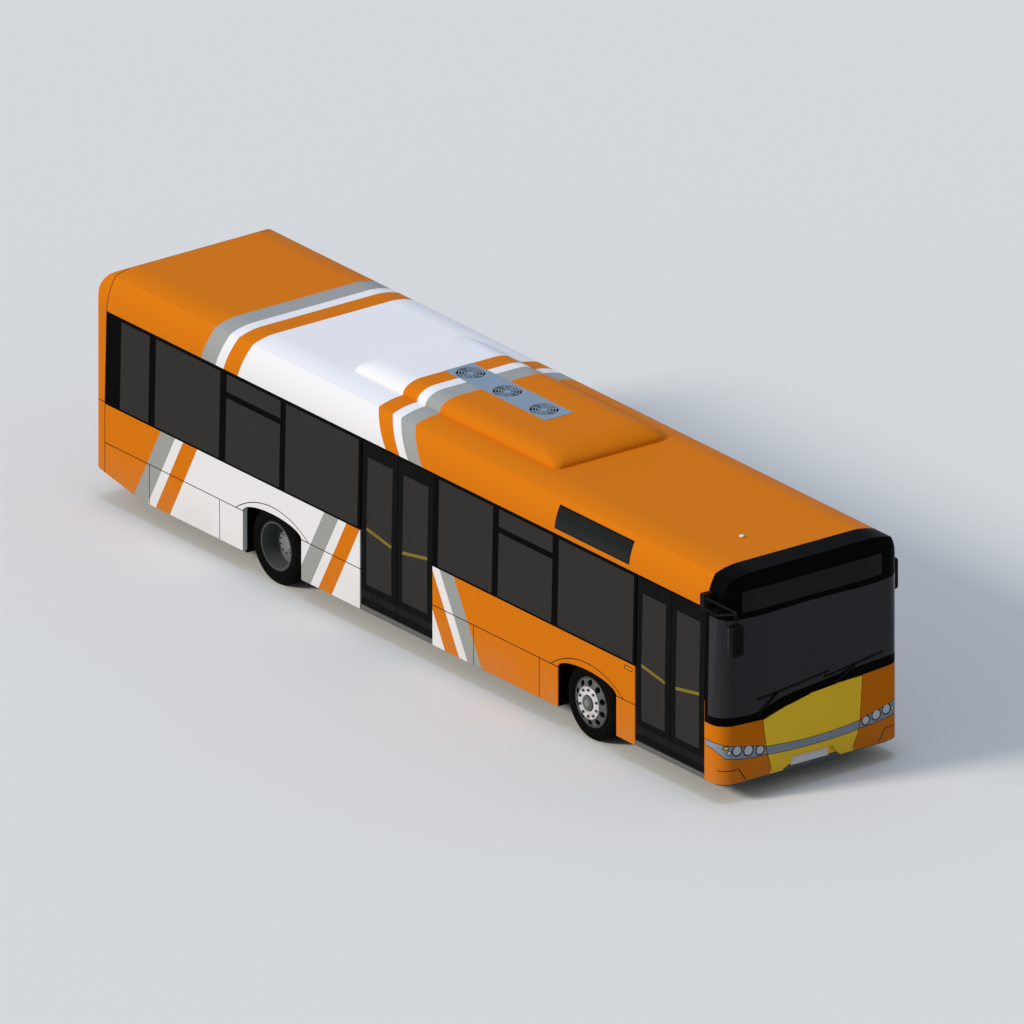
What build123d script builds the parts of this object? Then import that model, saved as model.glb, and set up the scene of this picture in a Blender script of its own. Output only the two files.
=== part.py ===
"""Low-floor airport passenger bus, in millimetres.

Row frame: +X forward, +Y to the bus's left, +Z up, origin on the ground below the
middle of the whole vehicle. The doors are on the right, the -Y side.
Heights are above the ground; stations marked rear_* and front_* are measured from
the rear and the front axle.
"""
import os
from math import atan2, cos, degrees, radians, sqrt

from build123d import *

os.makedirs("parts", exist_ok=True)

# ---- driving sizes -------------------------------------------------------------
body_length = 11815
body_width = 2550
wheelbase = 5900
rear_overhang = 3355
mirror_reach = 425          # how far the door-side mirror stands ahead of the body
wall_thickness = 60
glass_thickness = 8

skirt_z = 240               # lower edge of the side skirts
skirt_seam_z = 725
belt_z = 1195               # lower edge of the window band
band_top_z = 2315
band_lean = 25              # the window band leans in by this much at its top
crease_inset = 150          # the roof crease, in from the body side
crease_z = 2706
roof_z = 2765
roof_flat_half = 760

rear_corner_radius = 150
front_corner_radius = 200
front_bow = 65              # the front face is this much fuller at its middle
front_tuck = 50             # the bumper draws in by this much at its lower edge
tuck_top_z = 500
front_lean = 30
rear_lean = 35
front_top_radius = 190
rear_top_radius = 260
mask_depth = 358            # front moulding, from the front face to its side seam
rear_cap_depth = 223

floor_z = 262
floor_thickness = 60
deck_z = 1010               # raised rear deck over the engine
deck_rear_x = -1150         # its front edge, from the rear axle

tyre_radius = 455
tyre_width = 275
rim_radius = 300
bead_radius = 288
bore_radius = 73
hand_holes = 10
hand_hole_ring = 228
hand_hole_radius = 30
shoulder = 28               # of the tread
tyre_side_gap = 50          # tyre's outer side, in from the body side
twin_spacing = 315
housing_wall = 15
kingpin_inset = 425         # kingpin axis, in from the body side

rear_x = -(body_length + mirror_reach) / 2
front_x = rear_x + body_length
rear_axle_x = rear_x + rear_overhang
front_axle_x = rear_axle_x + wheelbase
half_width = body_width / 2
band_half = half_width - band_lean
crease_y = half_width - crease_inset
mask_x = front_x - mask_depth
rear_cap_x = rear_x + rear_cap_depth
floor_bottom_z = floor_z - floor_thickness
inner_y = half_width - wall_thickness
bulkhead_x = rear_axle_x + deck_rear_x

# ---- side glazing --------------------------------------------------------------
pane_bottom_z = 1220
pane_top_z = 2270
hopper_bar_z = (1986, 2059)
seal_gap = 2
glass_overlap = 25

# pane: rear edge, front edge, "hopper" or "plain"; the first rows count from the
# rear axle, the later ones from the front axle
rear_panes = [
    (-2853, -2323, "plain"),
    (-2204, -1001, "plain"),
    (-879, 128, "hopper"),
    (232, 1594, "plain"),
]
left_door_bay_pane = [(1690, 3000, "plain")]
mid_panes = [
    (3100, 4109, "plain"),
    (4222, 5228, "hopper"),
]
front_pane = (-557, 847, "plain")
driver_pane = (950, 2130, "plain")

# ---- doors ---------------------------------------------------------------------
door_top_z = 2290
sill_top_z = 300
door_gap = 8                # above and below a leaf
door_edge_gap = 15
meeting_gap = 10
leaf_thickness = 52         # below the belt; the outer face follows the body above it
leaf_recess = 8             # leaf's outer face, in from the body side
pivot_offset = 51           # pivot line, inboard of the leaf's inner face
post_offset = 38            # column axis, beyond the aperture's edge
column_radius = 20
guide_end = 30              # guide pin, back from the meeting edge
arm_height = 18
arm_width = 40
pivot_pin_radius = 10
pin_clearance = 0.05
seat_clearance = 0.3
door_glass_bottom_z = 570
door_glass_top_z = 2110
door_stile = 95
grab_bar_z = 1190
grab_bar_radius = 14
door_open_limit = 78
vent_z = 440                # shallow vent low on every leaf
vent_width = 260
vent_height = 90

# aperture: name, rear edge, front edge
door_apertures = [
    ("middle", rear_axle_x + 1645, rear_axle_x + 3005),
    ("front", front_axle_x + 895, front_axle_x + 2198),
]

# ---- wheel arches --------------------------------------------------------------
arch_half = 548
arch_top_z = 862
arch_lip = 15               # wall left between a housing and the outside
housing_top_z = 985
housing_corner_radius = 150
front_housing_half = 640
rear_housing_half = 560
front_housing_depth = 640   # in from the body side
rear_housing_depth = 720

# ---- front end, (y, z) pairs seen from ahead -------------------------------------
screen_side = 61            # windscreen's ends, ahead of the mask's seam
screen_bottom = [(-1300, 1046), (-1097, 1046), (-781, 1044), (-487, 1140), (-141, 1196),
                 (236, 1233), (631, 1262), (1300, 1270)]
screen_top = [(-1300, 2262), (-1180, 2230), (-1020, 2216), (0, 2226), (1020, 2216),
              (1180, 2230), (1300, 2262)]
trim_edge = [(-1300, 944), (-1097, 942), (-712, 938), (-390, 1037), (-17, 1118), (369, 1145),
             (706, 1144), (1300, 1162)]     # lower edge of the screen's trim
display_bottom_z = 2290
display_top_z = 2547
display_half = 985
header_half = 1090          # groove round the display's header
header_top_z = 2650
flap_left_edge = [(706, 1144), (668, 601), (650, 501), (572, 270)]
flap_right_edge = [(-572, 270), (-650, 501), (-668, 601), (-712, 938)]
flap_gap = 12
flap_hinge_z = 1150
flap_hinge_depth = 14       # hinge axis, behind the face's middle
flap_barrel_y = (100, 420)
hinge_inset = 6             # hatch's hinge axis, in from the outer face
barrel_length = 80
barrel_radius = 5.7
flap_thickness = 22
notch_edge = [(-377, 255), (-277, 390), (277, 390), (377, 255)]     # plate's recess
notch_depth = 30
plate_width = 520
plate_height = 97
plate_z = 305
plate_gap_half = 400        # gap in the bumper's lower edge, below the plate
lamp_panel = [(1300, 750), (1206, 722), (945, 666), (723, 632), (676, 604), (656, 500),
              (841, 503), (1051, 525), (1190, 547), (1250, 618), (1300, 700)]
lamp_panel_depth = 8
bumper_crease = [(1300, 430), (1240, 402), (1030, 407), (930, 250)]
# lamp: distance from the middle, height, diameter
lamp_table = [(1052, 634, 120), (901, 606, 125), (745, 578, 110), (1184, 681, 50),
              (1151, 621, 50)]

# ---- grooves between panels ----------------------------------------------------
groove_width = 4
groove_depth = 3
skirt_seams = (-2298, -983, 3775, 5005)         # from the rear axle
arch_crease_radius = 1165
arch_crease_top_z = 944
rear_roof_seam = 355        # from the rear face
rear_rise_start = -2459     # skirt's rear end rises from here, from the rear axle
rear_rise_end_z = 405

# ---- side fittings -------------------------------------------------------------
side_display_x = (-650, 750)            # from the front axle
side_display_z = (2370, 2640)
marker_x = (710, 839)                   # from the front axle
marker_z = 1130
fitting_depth = 4

# ---- roof pod ------------------------------------------------------------------
pod_rear = 860              # from the rear axle
pod_length = 3740
pod_half = 760
pod_top_z = 2922
pod_taper = 20
pod_corner = 170
pod_shoulder = 90
fan_panel_x = (1800, 3690)              # from the rear axle
fan_panel_half = 200
fan_radius = 175
fan_positions = (2031, 2721, 3406)      # from the rear axle


# axle x, half length, depth in from the side
housing_table = [(rear_axle_x, rear_housing_half, rear_housing_depth),
                 (front_axle_x, front_housing_half, front_housing_depth)]


def save(piece, name):
    piece.label = name
    export_step(piece, f"parts/{name}.step")


def body_form(inset, extra_down=0):
    """The whole body as a solid, its skin moved in by inset."""
    half = half_width - inset
    length = body_length - 2 * inset
    top = roof_z - inset
    low = skirt_z - extra_down
    with BuildPart() as form:
        with BuildSketch(Plane.YZ.offset(rear_x + inset)):
            with BuildLine():
                for side in (1, -1):
                    Polyline((0, low), (side * half, low), (side * half, belt_z),
                             (side * (band_half - inset), band_top_z))
                    ThreePointArc((side * (band_half - inset), band_top_z),
                                  (side * (band_half - inset - 36), 2519 - inset / 3),
                                  (side * (crease_y - 0.6 * inset), crease_z - 0.9 * inset))
                    ThreePointArc((side * (crease_y - 0.6 * inset), crease_z - 0.9 * inset),
                                  (side * (crease_y - 145 - 0.3 * inset), roof_z - 18 - inset),
                                  (side * roof_flat_half, top))
                Line((-roof_flat_half, top), (roof_flat_half, top))
            make_face()
        extrude(amount=length)
        with BuildSketch(Plane.XY.offset(low)) as plan:
            with BuildLine():
                Polyline((front_x - front_bow - inset, half), (rear_x + inset, half),
                         (rear_x + inset, -half), (front_x - front_bow - inset, -half))
                ThreePointArc((front_x - front_bow - inset, -half), (front_x - inset, 0),
                              (front_x - front_bow - inset, half))
            make_face()
            corners = plan.vertices().group_by(Axis.X)
            fillet(corners[0], max(rear_corner_radius - inset, 20))
            fillet(plan.vertices().group_by(Axis.X)[-1], max(front_corner_radius - inset, 20))
        extrude(amount=top - low + 10, mode=Mode.INTERSECT)
        with BuildSketch(Plane.XZ) as side_view:
            with BuildLine():
                Polyline((rear_x + inset, low - 1), (rear_x + inset, belt_z),
                         (rear_x + inset + rear_lean, top), (front_x - inset - front_lean, top),
                         (front_x - inset, belt_z), (front_x - inset, tuck_top_z),
                         (front_x - inset - front_tuck, skirt_z),
                         (front_x - inset - front_tuck, low - 1), (rear_x + inset, low - 1))
            make_face()
            tops = side_view.vertices().group_by(Axis.Y)[-1].sort_by(Axis.X)
            fillet(tops[0], rear_top_radius - inset)
            fillet(tops[1], front_top_radius - inset)
        extrude(amount=half_width + 50, both=True, mode=Mode.INTERSECT)
    return form.part


def ring_form(outer_inset, inner_inset):
    """The layer of the body between two insets, open below."""
    with BuildPart() as ring:
        add(body_form(outer_inset))
        add(body_form(inner_inset, extra_down=50), mode=Mode.SUBTRACT)
    return ring.part


shell = ring_form(0, wall_thickness)
glazing = ring_form(0, glass_thickness)


def cut_box(x, y, z, mode=Mode.SUBTRACT):
    """A box from (low, high) pairs, cut from the part in hand unless told otherwise."""
    with Locations(((x[0] + x[1]) / 2, (y[0] + y[1]) / 2, (z[0] + z[1]) / 2)):
        Box(x[1] - x[0], y[1] - y[0], z[1] - z[0], mode=mode)


def side_panes(side):
    """(rear, front, low, high) of every pane on one side, -1 right or 1 left."""
    rows = [(rear_axle_x + a, rear_axle_x + b, kind) for a, b, kind in rear_panes + mid_panes]
    if side > 0:
        rows += [(rear_axle_x + a, rear_axle_x + b, kind) for a, b, kind in left_door_bay_pane]
        rows += [(front_axle_x + driver_pane[0], front_axle_x + driver_pane[1], driver_pane[2])]
    rows += [(front_axle_x + front_pane[0], front_axle_x + front_pane[1], front_pane[2])]
    panes = []
    for a, b, kind in rows:
        if kind == "hopper":
            panes.append((a, b, pane_bottom_z, hopper_bar_z[0]))
            panes.append((a, b, hopper_bar_z[1], pane_top_z))
        else:
            panes.append((a, b, pane_bottom_z, pane_top_z))
    return panes


def outward(side, near, far):
    """A (low, high) pair of y for distances from the middle plane on one side."""
    return (near, far) if side > 0 else (-far, -near)


def hinge_barrels(x, z, lid_z, stations):
    """Barrels above a lid's top edge, each on a tab that comes up from the lid."""
    with BuildPart() as barrels:
        for y, top_z in zip(stations, lid_z):
            with BuildSketch(Plane.XZ.offset(-y - barrel_length / 2)):
                with Locations((x, z)):
                    Circle(barrel_radius)
                with Locations((x, (z + top_z - 5) / 2)):
                    Rectangle(2 * barrel_radius - 2, z - top_z + 5)
            extrude(amount=barrel_length)
    return barrels.part


def roof_region():
    """Prism that holds the roof: above a line through each crease."""
    with BuildPart() as region:
        with BuildSketch(Plane.YZ.offset(rear_x - 50)):
            with BuildLine():
                Polyline((-crease_y, crease_z), (-crease_y + 70, crease_z - 120),
                         (crease_y - 70, crease_z - 120), (crease_y, crease_z),
                         (crease_y, roof_z + 100), (-crease_y, roof_z + 100),
                         (-crease_y, crease_z))
            make_face()
        extrude(amount=body_length + 100)
    return region.part


def arch_cutter(axle_x, side):
    """The opening of one wheel arch: straight up to the skirt seam, then half an ellipse."""
    with BuildPart() as cutter:
        with BuildSketch(Plane.XZ):
            with Locations((axle_x, skirt_seam_z)):
                Ellipse(arch_half, arch_top_z - skirt_seam_z)
            with Locations((axle_x, (skirt_z - 60 + skirt_seam_z) / 2)):
                Rectangle(2 * arch_half, skirt_seam_z - skirt_z + 60)
        extrude(amount=-side * (half_width + 10))
    return cutter.part


def housing_block(axle_x, half, near, far, inset, side):
    """A wheel housing's box with rounded upper corners, its walls moved in by inset."""
    low = floor_bottom_z - inset
    high = housing_top_z - inset
    with BuildPart() as block:
        with BuildSketch(Plane.XZ.offset(-side * (near + inset))) as face:
            with Locations((axle_x, (low + high) / 2)):
                Rectangle(2 * (half - inset), high - low)
            fillet(face.vertices().group_by(Axis.Y)[-1], housing_corner_radius - inset)
        extrude(amount=-side * (far - near - inset))
    return block.part


def crease_groove(axle_x, side):
    """The curved groove over one arch, down to the skirt seam at both ends."""
    with BuildPart() as groove:
        with BuildSketch(Plane.XZ.offset(-side * (half_width - groove_depth))):
            with Locations((axle_x, arch_crease_top_z - arch_crease_radius)):
                Circle(arch_crease_radius + groove_width / 2)
                Circle(arch_crease_radius - groove_width / 2, mode=Mode.SUBTRACT)
            with Locations((axle_x, skirt_seam_z + 200)):
                Rectangle(2000, 400, mode=Mode.INTERSECT)
        extrude(amount=-side * 10)
    return groove.part


with BuildPart() as rise_wedge:
    with BuildSketch(Plane.XZ):
        with BuildLine():
            Polyline((rear_x - 20, skirt_z - 80), (rear_x - 20, rear_rise_end_z),
                     (rear_axle_x + rear_rise_start, skirt_z),
                     (rear_axle_x + rear_rise_start, skirt_z - 80),
                     (rear_x - 20, skirt_z - 80))
        make_face()
    extrude(amount=half_width + 20, both=True)
rise_cutter = rise_wedge.part

fitting_skin = ring_form(0, fitting_depth)


def side_display_block(grow):
    """The side display's panel in the cove on the door side."""
    with BuildPart() as block:
        cut_box((front_axle_x + side_display_x[0] - grow, front_axle_x + side_display_x[1] + grow),
                (-half_width - 5, -crease_y + 20),
                (side_display_z[0] - grow, side_display_z[1] + grow), mode=Mode.ADD)
        add(fitting_skin, mode=Mode.INTERSECT)
    return block.part


def side_wall(side, name):
    """One side wall: skirt, waist, pillars and cove in one, windows and doors cut."""
    with BuildPart() as wall:
        add(shell)
        add(roof_region(), mode=Mode.SUBTRACT)
        cut_box((rear_cap_x, mask_x), outward(side, inner_y - 250, half_width + 5),
                (skirt_z - 10, roof_z), mode=Mode.INTERSECT)
        for a, b, low, high in side_panes(side):
            rebate = outward(side, half_width - 200, half_width + 5)
            cut_box((a + glass_overlap, b - glass_overlap), rebate,
                    (low + glass_overlap, high - glass_overlap))
        for axle_x, half, depth in housing_table:
            add(arch_cutter(axle_x, side), mode=Mode.SUBTRACT)
            add(housing_block(axle_x, half, half_width - depth, half_width - arch_lip,
                              housing_wall, side), mode=Mode.SUBTRACT)
        if side < 0:
            for _, a, b in door_apertures:
                cut_box((a, b), outward(side, half_width - 250, half_width + 5),
                        (skirt_z - 10, door_top_z))
        add(pane_layer(side, seal_gap), mode=Mode.SUBTRACT)
        add(rise_cutter, mode=Mode.SUBTRACT)
        face = outward(side, half_width - groove_depth, half_width + 5)
        half_groove = groove_width / 2
        cut_box((rear_cap_x, mask_x), face, (skirt_seam_z - half_groove,
                                             skirt_seam_z + half_groove))
        for station in skirt_seams:
            x = rear_axle_x + station
            cut_box((x - half_groove, x + half_groove), face, (skirt_z - 5, skirt_seam_z))
        for axle_x in (rear_axle_x, front_axle_x):
            add(crease_groove(axle_x, side), mode=Mode.SUBTRACT)
        x = (front_axle_x + marker_x[0], front_axle_x + marker_x[1])
        cut_box(x, outward(side, half_width - fitting_depth, half_width + 5),
                (marker_z - 14, marker_z + 14))
        if side < 0:
            add(side_display_block(0), mode=Mode.SUBTRACT)
    save(wall.part, name)


def pane_layer(side, grow):
    """The glass of one side as a layer of the body's skin, grown all round by grow."""
    with BuildPart() as blocks:
        for a, b, low, high in side_panes(side):
            cut_box((a - grow, b + grow), outward(side, half_width - 100, half_width + 5),
                    (low - grow, high + grow), mode=Mode.ADD)
        add(glazing, mode=Mode.INTERSECT)
    return blocks.part


side_wall(-1, "wall_right")
side_wall(1, "wall_left")
save(pane_layer(-1, 0), "side_glass_right")
save(pane_layer(1, 0), "side_glass_left")
save(side_display_block(-1), "side_display")

with BuildPart() as side_markers:
    for side in (1, -1):
        cut_box((front_axle_x + marker_x[0] + 1, front_axle_x + marker_x[1] - 1),
                outward(side, half_width - fitting_depth, half_width),
                (marker_z - 13, marker_z + 13), mode=Mode.ADD)
save(side_markers.part, "side_markers")

# ---- roof ----------------------------------------------------------------------
with BuildPart() as roof_shell:
    add(shell)
    add(roof_region(), mode=Mode.INTERSECT)
    cut_box((rear_cap_x, mask_x), (-crease_y, crease_y), (crease_z - 150, roof_z + 10),
            mode=Mode.INTERSECT)
save(roof_shell.part, "roof_shell")

pod_x = rear_axle_x + pod_rear
fan_panel_middle = rear_axle_x + (fan_panel_x[0] + fan_panel_x[1]) / 2
fan_panel_length = fan_panel_x[1] - fan_panel_x[0]
with BuildPart() as aircon_pod:
    with BuildSketch(Plane.XY.offset(roof_z)):
        with Locations((pod_x + pod_length / 2, 0)):
            RectangleRounded(pod_length, 2 * pod_half, pod_corner)
    extrude(amount=pod_top_z - roof_z, taper=pod_taper)
    fillet(aircon_pod.faces().sort_by(Axis.Z)[-1].edges(), pod_shoulder)
    with BuildSketch(Plane.XY.offset(pod_top_z - fitting_depth)):
        with Locations((fan_panel_middle, 0)):
            Rectangle(fan_panel_length, 2 * fan_panel_half)
    extrude(amount=20, mode=Mode.SUBTRACT)
    with Locations(*[(rear_axle_x + x, 0, pod_top_z) for x in fan_positions]):
        Hole(fan_radius, depth=90)
save(aircon_pod.part, "aircon_pod")

with BuildPart() as fan_panel:
    with BuildSketch(Plane.XY.offset(pod_top_z - fitting_depth)):
        with Locations((fan_panel_middle, 0)):
            Rectangle(fan_panel_length - 2, 2 * fan_panel_half - 2)
        with Locations(*[(rear_axle_x + x, 0) for x in fan_positions]):
            Circle(fan_radius, mode=Mode.SUBTRACT)
    extrude(amount=fitting_depth)
save(fan_panel.part, "fan_panel")

guard_rings = (175, 142, 108, 74, 40)
guard_bar = 10
with BuildPart() as fan_guards:
    for x in fan_positions:
        with BuildSketch(Plane.XY.offset(pod_top_z - 14)):
            with Locations((rear_axle_x + x, 0)):
                for radius in guard_rings:
                    Circle(radius)
                    Circle(radius - guard_bar, mode=Mode.SUBTRACT)
                for turn in (0, 45, 90, 135):
                    Rectangle(2 * fan_radius - 6, guard_bar, rotation=turn + 22.5)
                Circle(30)
        extrude(amount=8)
        # the fan's motor, hung under the guard
        with BuildSketch(Plane.XY.offset(pod_top_z - 80)):
            with Locations((rear_axle_x + x, 0)):
                Circle(45)
        extrude(amount=68)
save(fan_guards.part, "fan_guards")

# ---- rear end ------------------------------------------------------------------
rear_screen_low_z = 1480
rear_screen_high_z = 2230
rear_screen_half = 1010
hatch_half = 860
hatch_low_z = 520
hatch_high_z = 1360
hatch_gap = 12
hatch_thickness = 40
hatch_slot_z = (600, 660, 720, 780, 840, 900)
hatch_slot_half = 700
hatch_slot_height = 22
lamp_y = (1000, 1110)
lamp_z = (620, 1120)
lamp_count = 4
bumper_slot_z = 470


def rear_block(y_half, low, high, grow=0, layer=shell):
    """What the rear face's layer holds between two heights."""
    with BuildPart() as block:
        cut_box((rear_x - 20, rear_cap_x), (-y_half - grow, y_half + grow),
                (low - grow, high + grow), mode=Mode.ADD)
        add(layer, mode=Mode.INTERSECT)
    return block.part


with BuildPart() as rear_wall:
    add(shell)
    cut_box((rear_x - 5, rear_cap_x), (-half_width - 5, half_width + 5),
            (skirt_z - 5, roof_z + 5), mode=Mode.INTERSECT)
    cut_box((rear_x - 20, rear_x + 150), (-rear_screen_half + glass_overlap,
                                          rear_screen_half - glass_overlap),
            (rear_screen_low_z + glass_overlap, rear_screen_high_z - glass_overlap))
    cut_box((rear_x - 20, rear_x + 150), (-hatch_half - hatch_gap, hatch_half + hatch_gap),
            (hatch_low_z - hatch_gap, hatch_high_z + hatch_gap))
    add(rear_block(rear_screen_half, rear_screen_low_z, rear_screen_high_z, seal_gap, glazing),
        mode=Mode.SUBTRACT)
    add(rise_cutter, mode=Mode.SUBTRACT)
    for side in (1, -1):
        cut_box((rear_x - 20, rear_x + 25), outward(side, lamp_y[0], lamp_y[1]), lamp_z)
    cut_box((rear_x - 20, rear_x + groove_depth), (-half_width, half_width),
            (bumper_slot_z - groove_width / 2, bumper_slot_z + groove_width / 2))
save(rear_wall.part, "rear_wall")
save(rear_block(rear_screen_half, rear_screen_low_z, rear_screen_high_z, 0, glazing),
     "rear_glass")

with BuildPart() as tail_lamps:
    for side in (1, -1):
        lamp_middle_y = side * (lamp_y[0] + lamp_y[1]) / 2
        pitch = (lamp_z[1] - lamp_z[0]) / lamp_count
        # bezel plate, flush with the wall, and round lamps standing on it
        cut_box((rear_x + 5, rear_x + 25 - seat_clearance),
                outward(side, lamp_y[0] + 1, lamp_y[1] - 1), (lamp_z[0] + 1, lamp_z[1] - 1),
                mode=Mode.ADD)
        for k in range(lamp_count):
            with BuildSketch(Plane.YZ.offset(rear_x)):
                with Locations((lamp_middle_y, lamp_z[0] + (k + 0.5) * pitch)):
                    Circle(46)
            extrude(amount=8)
save(tail_lamps.part, "tail_lamps")

with BuildPart() as engine_hatch:
    cut_box((rear_x - 20, rear_x + hatch_thickness), (-hatch_half, hatch_half),
            (hatch_low_z, hatch_high_z), mode=Mode.ADD)
    add(body_form(0), mode=Mode.INTERSECT)
    for z in hatch_slot_z:
        cut_box((rear_x - 20, rear_x + 14), (-hatch_slot_half, hatch_slot_half),
                (z, z + hatch_slot_height))
    add(hinge_barrels(rear_x + hinge_inset, hatch_high_z + hatch_gap / 2,
                      (hatch_high_z, hatch_high_z), (-500, 500)))
save(engine_hatch.part, "engine_hatch")

# ---- front end -----------------------------------------------------------------
front_skin = ring_form(0, lamp_panel_depth)
outer_form = body_form(0, extra_down=50)


def face_layer(back, ahead):
    """What lies between two copies of the body moved along X, ahead of its face."""
    with BuildPart() as layer:
        add(outer_form.moved(Location((ahead, 0, 0))))
        add(outer_form.moved(Location((back, 0, 0))), mode=Mode.SUBTRACT)
        cut_box((mask_x + 100, front_x + 100), (-half_width, half_width), (skirt_z, roof_z),
                mode=Mode.INTERSECT)
    return layer.part


groove_skin = face_layer(-groove_depth, 0)


def front_prism(low_edge, high_edge, grow, far_side=False):
    """A prism along X between two edges given as (y, z) points, spread apart by grow."""
    near = mask_x + screen_side - grow if far_side else mask_x + 1
    with BuildPart() as prism:
        with BuildSketch(Plane.YZ.offset(near)):
            with BuildLine():
                low = Spline(*[(y, z - grow) for y, z in low_edge])
                high = Spline(*[(y, z + grow) for y, z in high_edge])
                Line(low @ 0, high @ 0)
                Line(low @ 1, high @ 1)
            make_face()
        extrude(amount=front_x + 20 - near)
    return prism.part


def front_polygon(points):
    """A prism on the front face with the given outline."""
    with BuildPart() as prism:
        with BuildSketch(Plane.YZ.offset(mask_x + 40)):
            with BuildLine():
                Polyline(*points, points[0])
            make_face()
        extrude(amount=front_x + 20 - mask_x)
    return prism.part


def shifted(points, dy, dz=0):
    return [(y + dy, z + dz) for y, z in points]


def flap_block(gap):
    """The front flap's outline, its top along the trim's edge, drawn in by gap."""
    left, right = flap_left_edge, flap_right_edge
    top = [(y, z - gap) for y, z in trim_edge if right[-1][0] <= y <= left[0][0]]
    top[0] = (top[0][0] + gap, top[0][1])
    top[-1] = (top[-1][0] - gap, top[-1][1])
    low = left[-1][1]
    with BuildPart() as block:
        with BuildSketch(Plane.YZ.offset(mask_x + 40)):
            with BuildLine():
                Spline(*top)
                Polyline(top[-1], *shifted(left[1:], -gap), *shifted(right[:-1], gap), top[0])
            make_face()
        extrude(amount=front_x + 20 - mask_x)
    return block.part


flap_layer = face_layer(-flap_thickness, 0)
flap_axis_x = front_x - flap_hinge_depth


def flap_hinge():
    """Two goose-neck hinges: a foot behind the flap's upper edge, a neck and a barrel."""
    with BuildPart() as hinge:
        for y in flap_barrel_y:
            top_z = flap_hinge_z - 40
            cut_box((flap_axis_x - 4, flap_axis_x + 4),
                    (y - barrel_length / 2, y + barrel_length / 2),
                    (top_z - 40, flap_hinge_z), mode=Mode.ADD)
            cut_box((flap_axis_x - 4, front_x - flap_thickness / 2),
                    (y - barrel_length / 2, y + barrel_length / 2),
                    (top_z - 40, top_z - 32), mode=Mode.ADD)
            with BuildSketch(Plane.XZ.offset(-y - barrel_length / 2)):
                with Locations((flap_axis_x, flap_hinge_z)):
                    Circle(barrel_radius)
            extrude(amount=barrel_length)
        add(outer_form, mode=Mode.INTERSECT)
    return hinge.part


def front_block(y_half, low, high, grow=0, layer=glazing):
    """What the front face's layer holds between two heights."""
    with BuildPart() as block:
        cut_box((mask_x + 40, front_x + 20), (-y_half - grow, y_half + grow),
                (low - grow, high + grow), mode=Mode.ADD)
        add(layer, mode=Mode.INTERSECT)
    return block.part


def screen_layer(grow):
    with BuildPart() as layer:
        add(front_prism(screen_bottom, screen_top, grow, far_side=True))
        add(glazing, mode=Mode.INTERSECT)
    return layer.part


def lamp_panels_part(grow):
    """Both lamp units' panels in the mask's skin."""
    with BuildPart() as panels:
        for side in (1, -1):
            outline = [(side * y, z) for y, z in lamp_panel]
            with BuildSketch(Plane.YZ.offset(mask_x + 10)) as face:
                with BuildLine():
                    Polyline(*outline, outline[0])
                make_face()
                offset(amount=grow, kind=Kind.INTERSECTION, mode=Mode.REPLACE)
            extrude(amount=front_x + 20 - mask_x)
        add(front_skin, mode=Mode.INTERSECT)
    return panels.part


def lamp_bores(grow):
    with BuildPart() as bores:
        for side in (1, -1):
            for y, z, size in lamp_table:
                with BuildSketch(Plane.YZ.offset(front_x - 75)):
                    with Locations((side * y, z)):
                        Circle(size / 2 + grow)
                extrude(amount=95)
    return bores.part


def front_grooves():
    """Every shallow line on the mask: trim edge, header outline and bumper creases."""
    with BuildPart() as grooves:
        add(front_prism(shifted(trim_edge, 0, -groove_width / 2),
                        shifted(trim_edge, 0, groove_width / 2), 0))
        with BuildSketch(Plane.YZ.offset(mask_x + 40)):
            with Locations((0, header_top_z - 300)):
                RectangleRounded(2 * header_half, 600, 90)
                RectangleRounded(2 * header_half - 8, 592, 86, mode=Mode.SUBTRACT)
            with Locations((0, display_top_z)):
                Rectangle(3000, 2 * (display_top_z - display_bottom_z + 40), mode=Mode.INTERSECT)
        extrude(amount=front_x + 20 - mask_x)
        for side in (1, -1):
            line = [(side * y, z) for y, z in bumper_crease]
            band = line + [(y - side * 3, z - groove_width) for y, z in reversed(line)]
            with BuildSketch(Plane.YZ.offset(mask_x + 10)):
                with BuildLine():
                    Polyline(*band, band[0])
                make_face()
            extrude(amount=front_x + 20 - mask_x)
        add(groove_skin, mode=Mode.INTERSECT)
    return grooves.part


with BuildPart() as front_mask:
    add(shell)
    cut_box((mask_x, front_x + 5), (-half_width - 5, half_width + 5),
            (skirt_z - 5, roof_z + 5), mode=Mode.INTERSECT)
    add(front_prism(screen_bottom, screen_top, -glass_overlap, far_side=True),
        mode=Mode.SUBTRACT)
    add(screen_layer(seal_gap), mode=Mode.SUBTRACT)
    cut_box((mask_x + 40, front_x + 20),
            (-display_half + glass_overlap, display_half - glass_overlap),
            (display_bottom_z + glass_overlap, display_top_z - glass_overlap))
    add(front_block(display_half, display_bottom_z, display_top_z, seal_gap),
        mode=Mode.SUBTRACT)
    add(flap_block(0), mode=Mode.SUBTRACT)
    for y in flap_barrel_y:
        cut_box((flap_axis_x - 12, front_x + 20),
                (y - barrel_length / 2 - 0.4, y + barrel_length / 2 + 0.4),
                (flap_hinge_z - 90, flap_hinge_z + barrel_radius + 4))
    cut_box((mask_x + 100, front_x + 20), (-plate_gap_half, plate_gap_half),
            (skirt_z - 5, flap_left_edge[-1][1] + 1))
    add(lamp_panels_part(0), mode=Mode.SUBTRACT)
    add(lamp_bores(1), mode=Mode.SUBTRACT)
    add(front_grooves(), mode=Mode.SUBTRACT)
save(front_mask.part, "front_mask")
save(screen_layer(0), "windscreen")
save(front_block(display_half, display_bottom_z, display_top_z), "display_glass")

with BuildPart() as lamp_panels:
    add(lamp_panels_part(-1))
    add(lamp_bores(2), mode=Mode.SUBTRACT)
save(lamp_panels.part, "lamp_panels")

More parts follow.
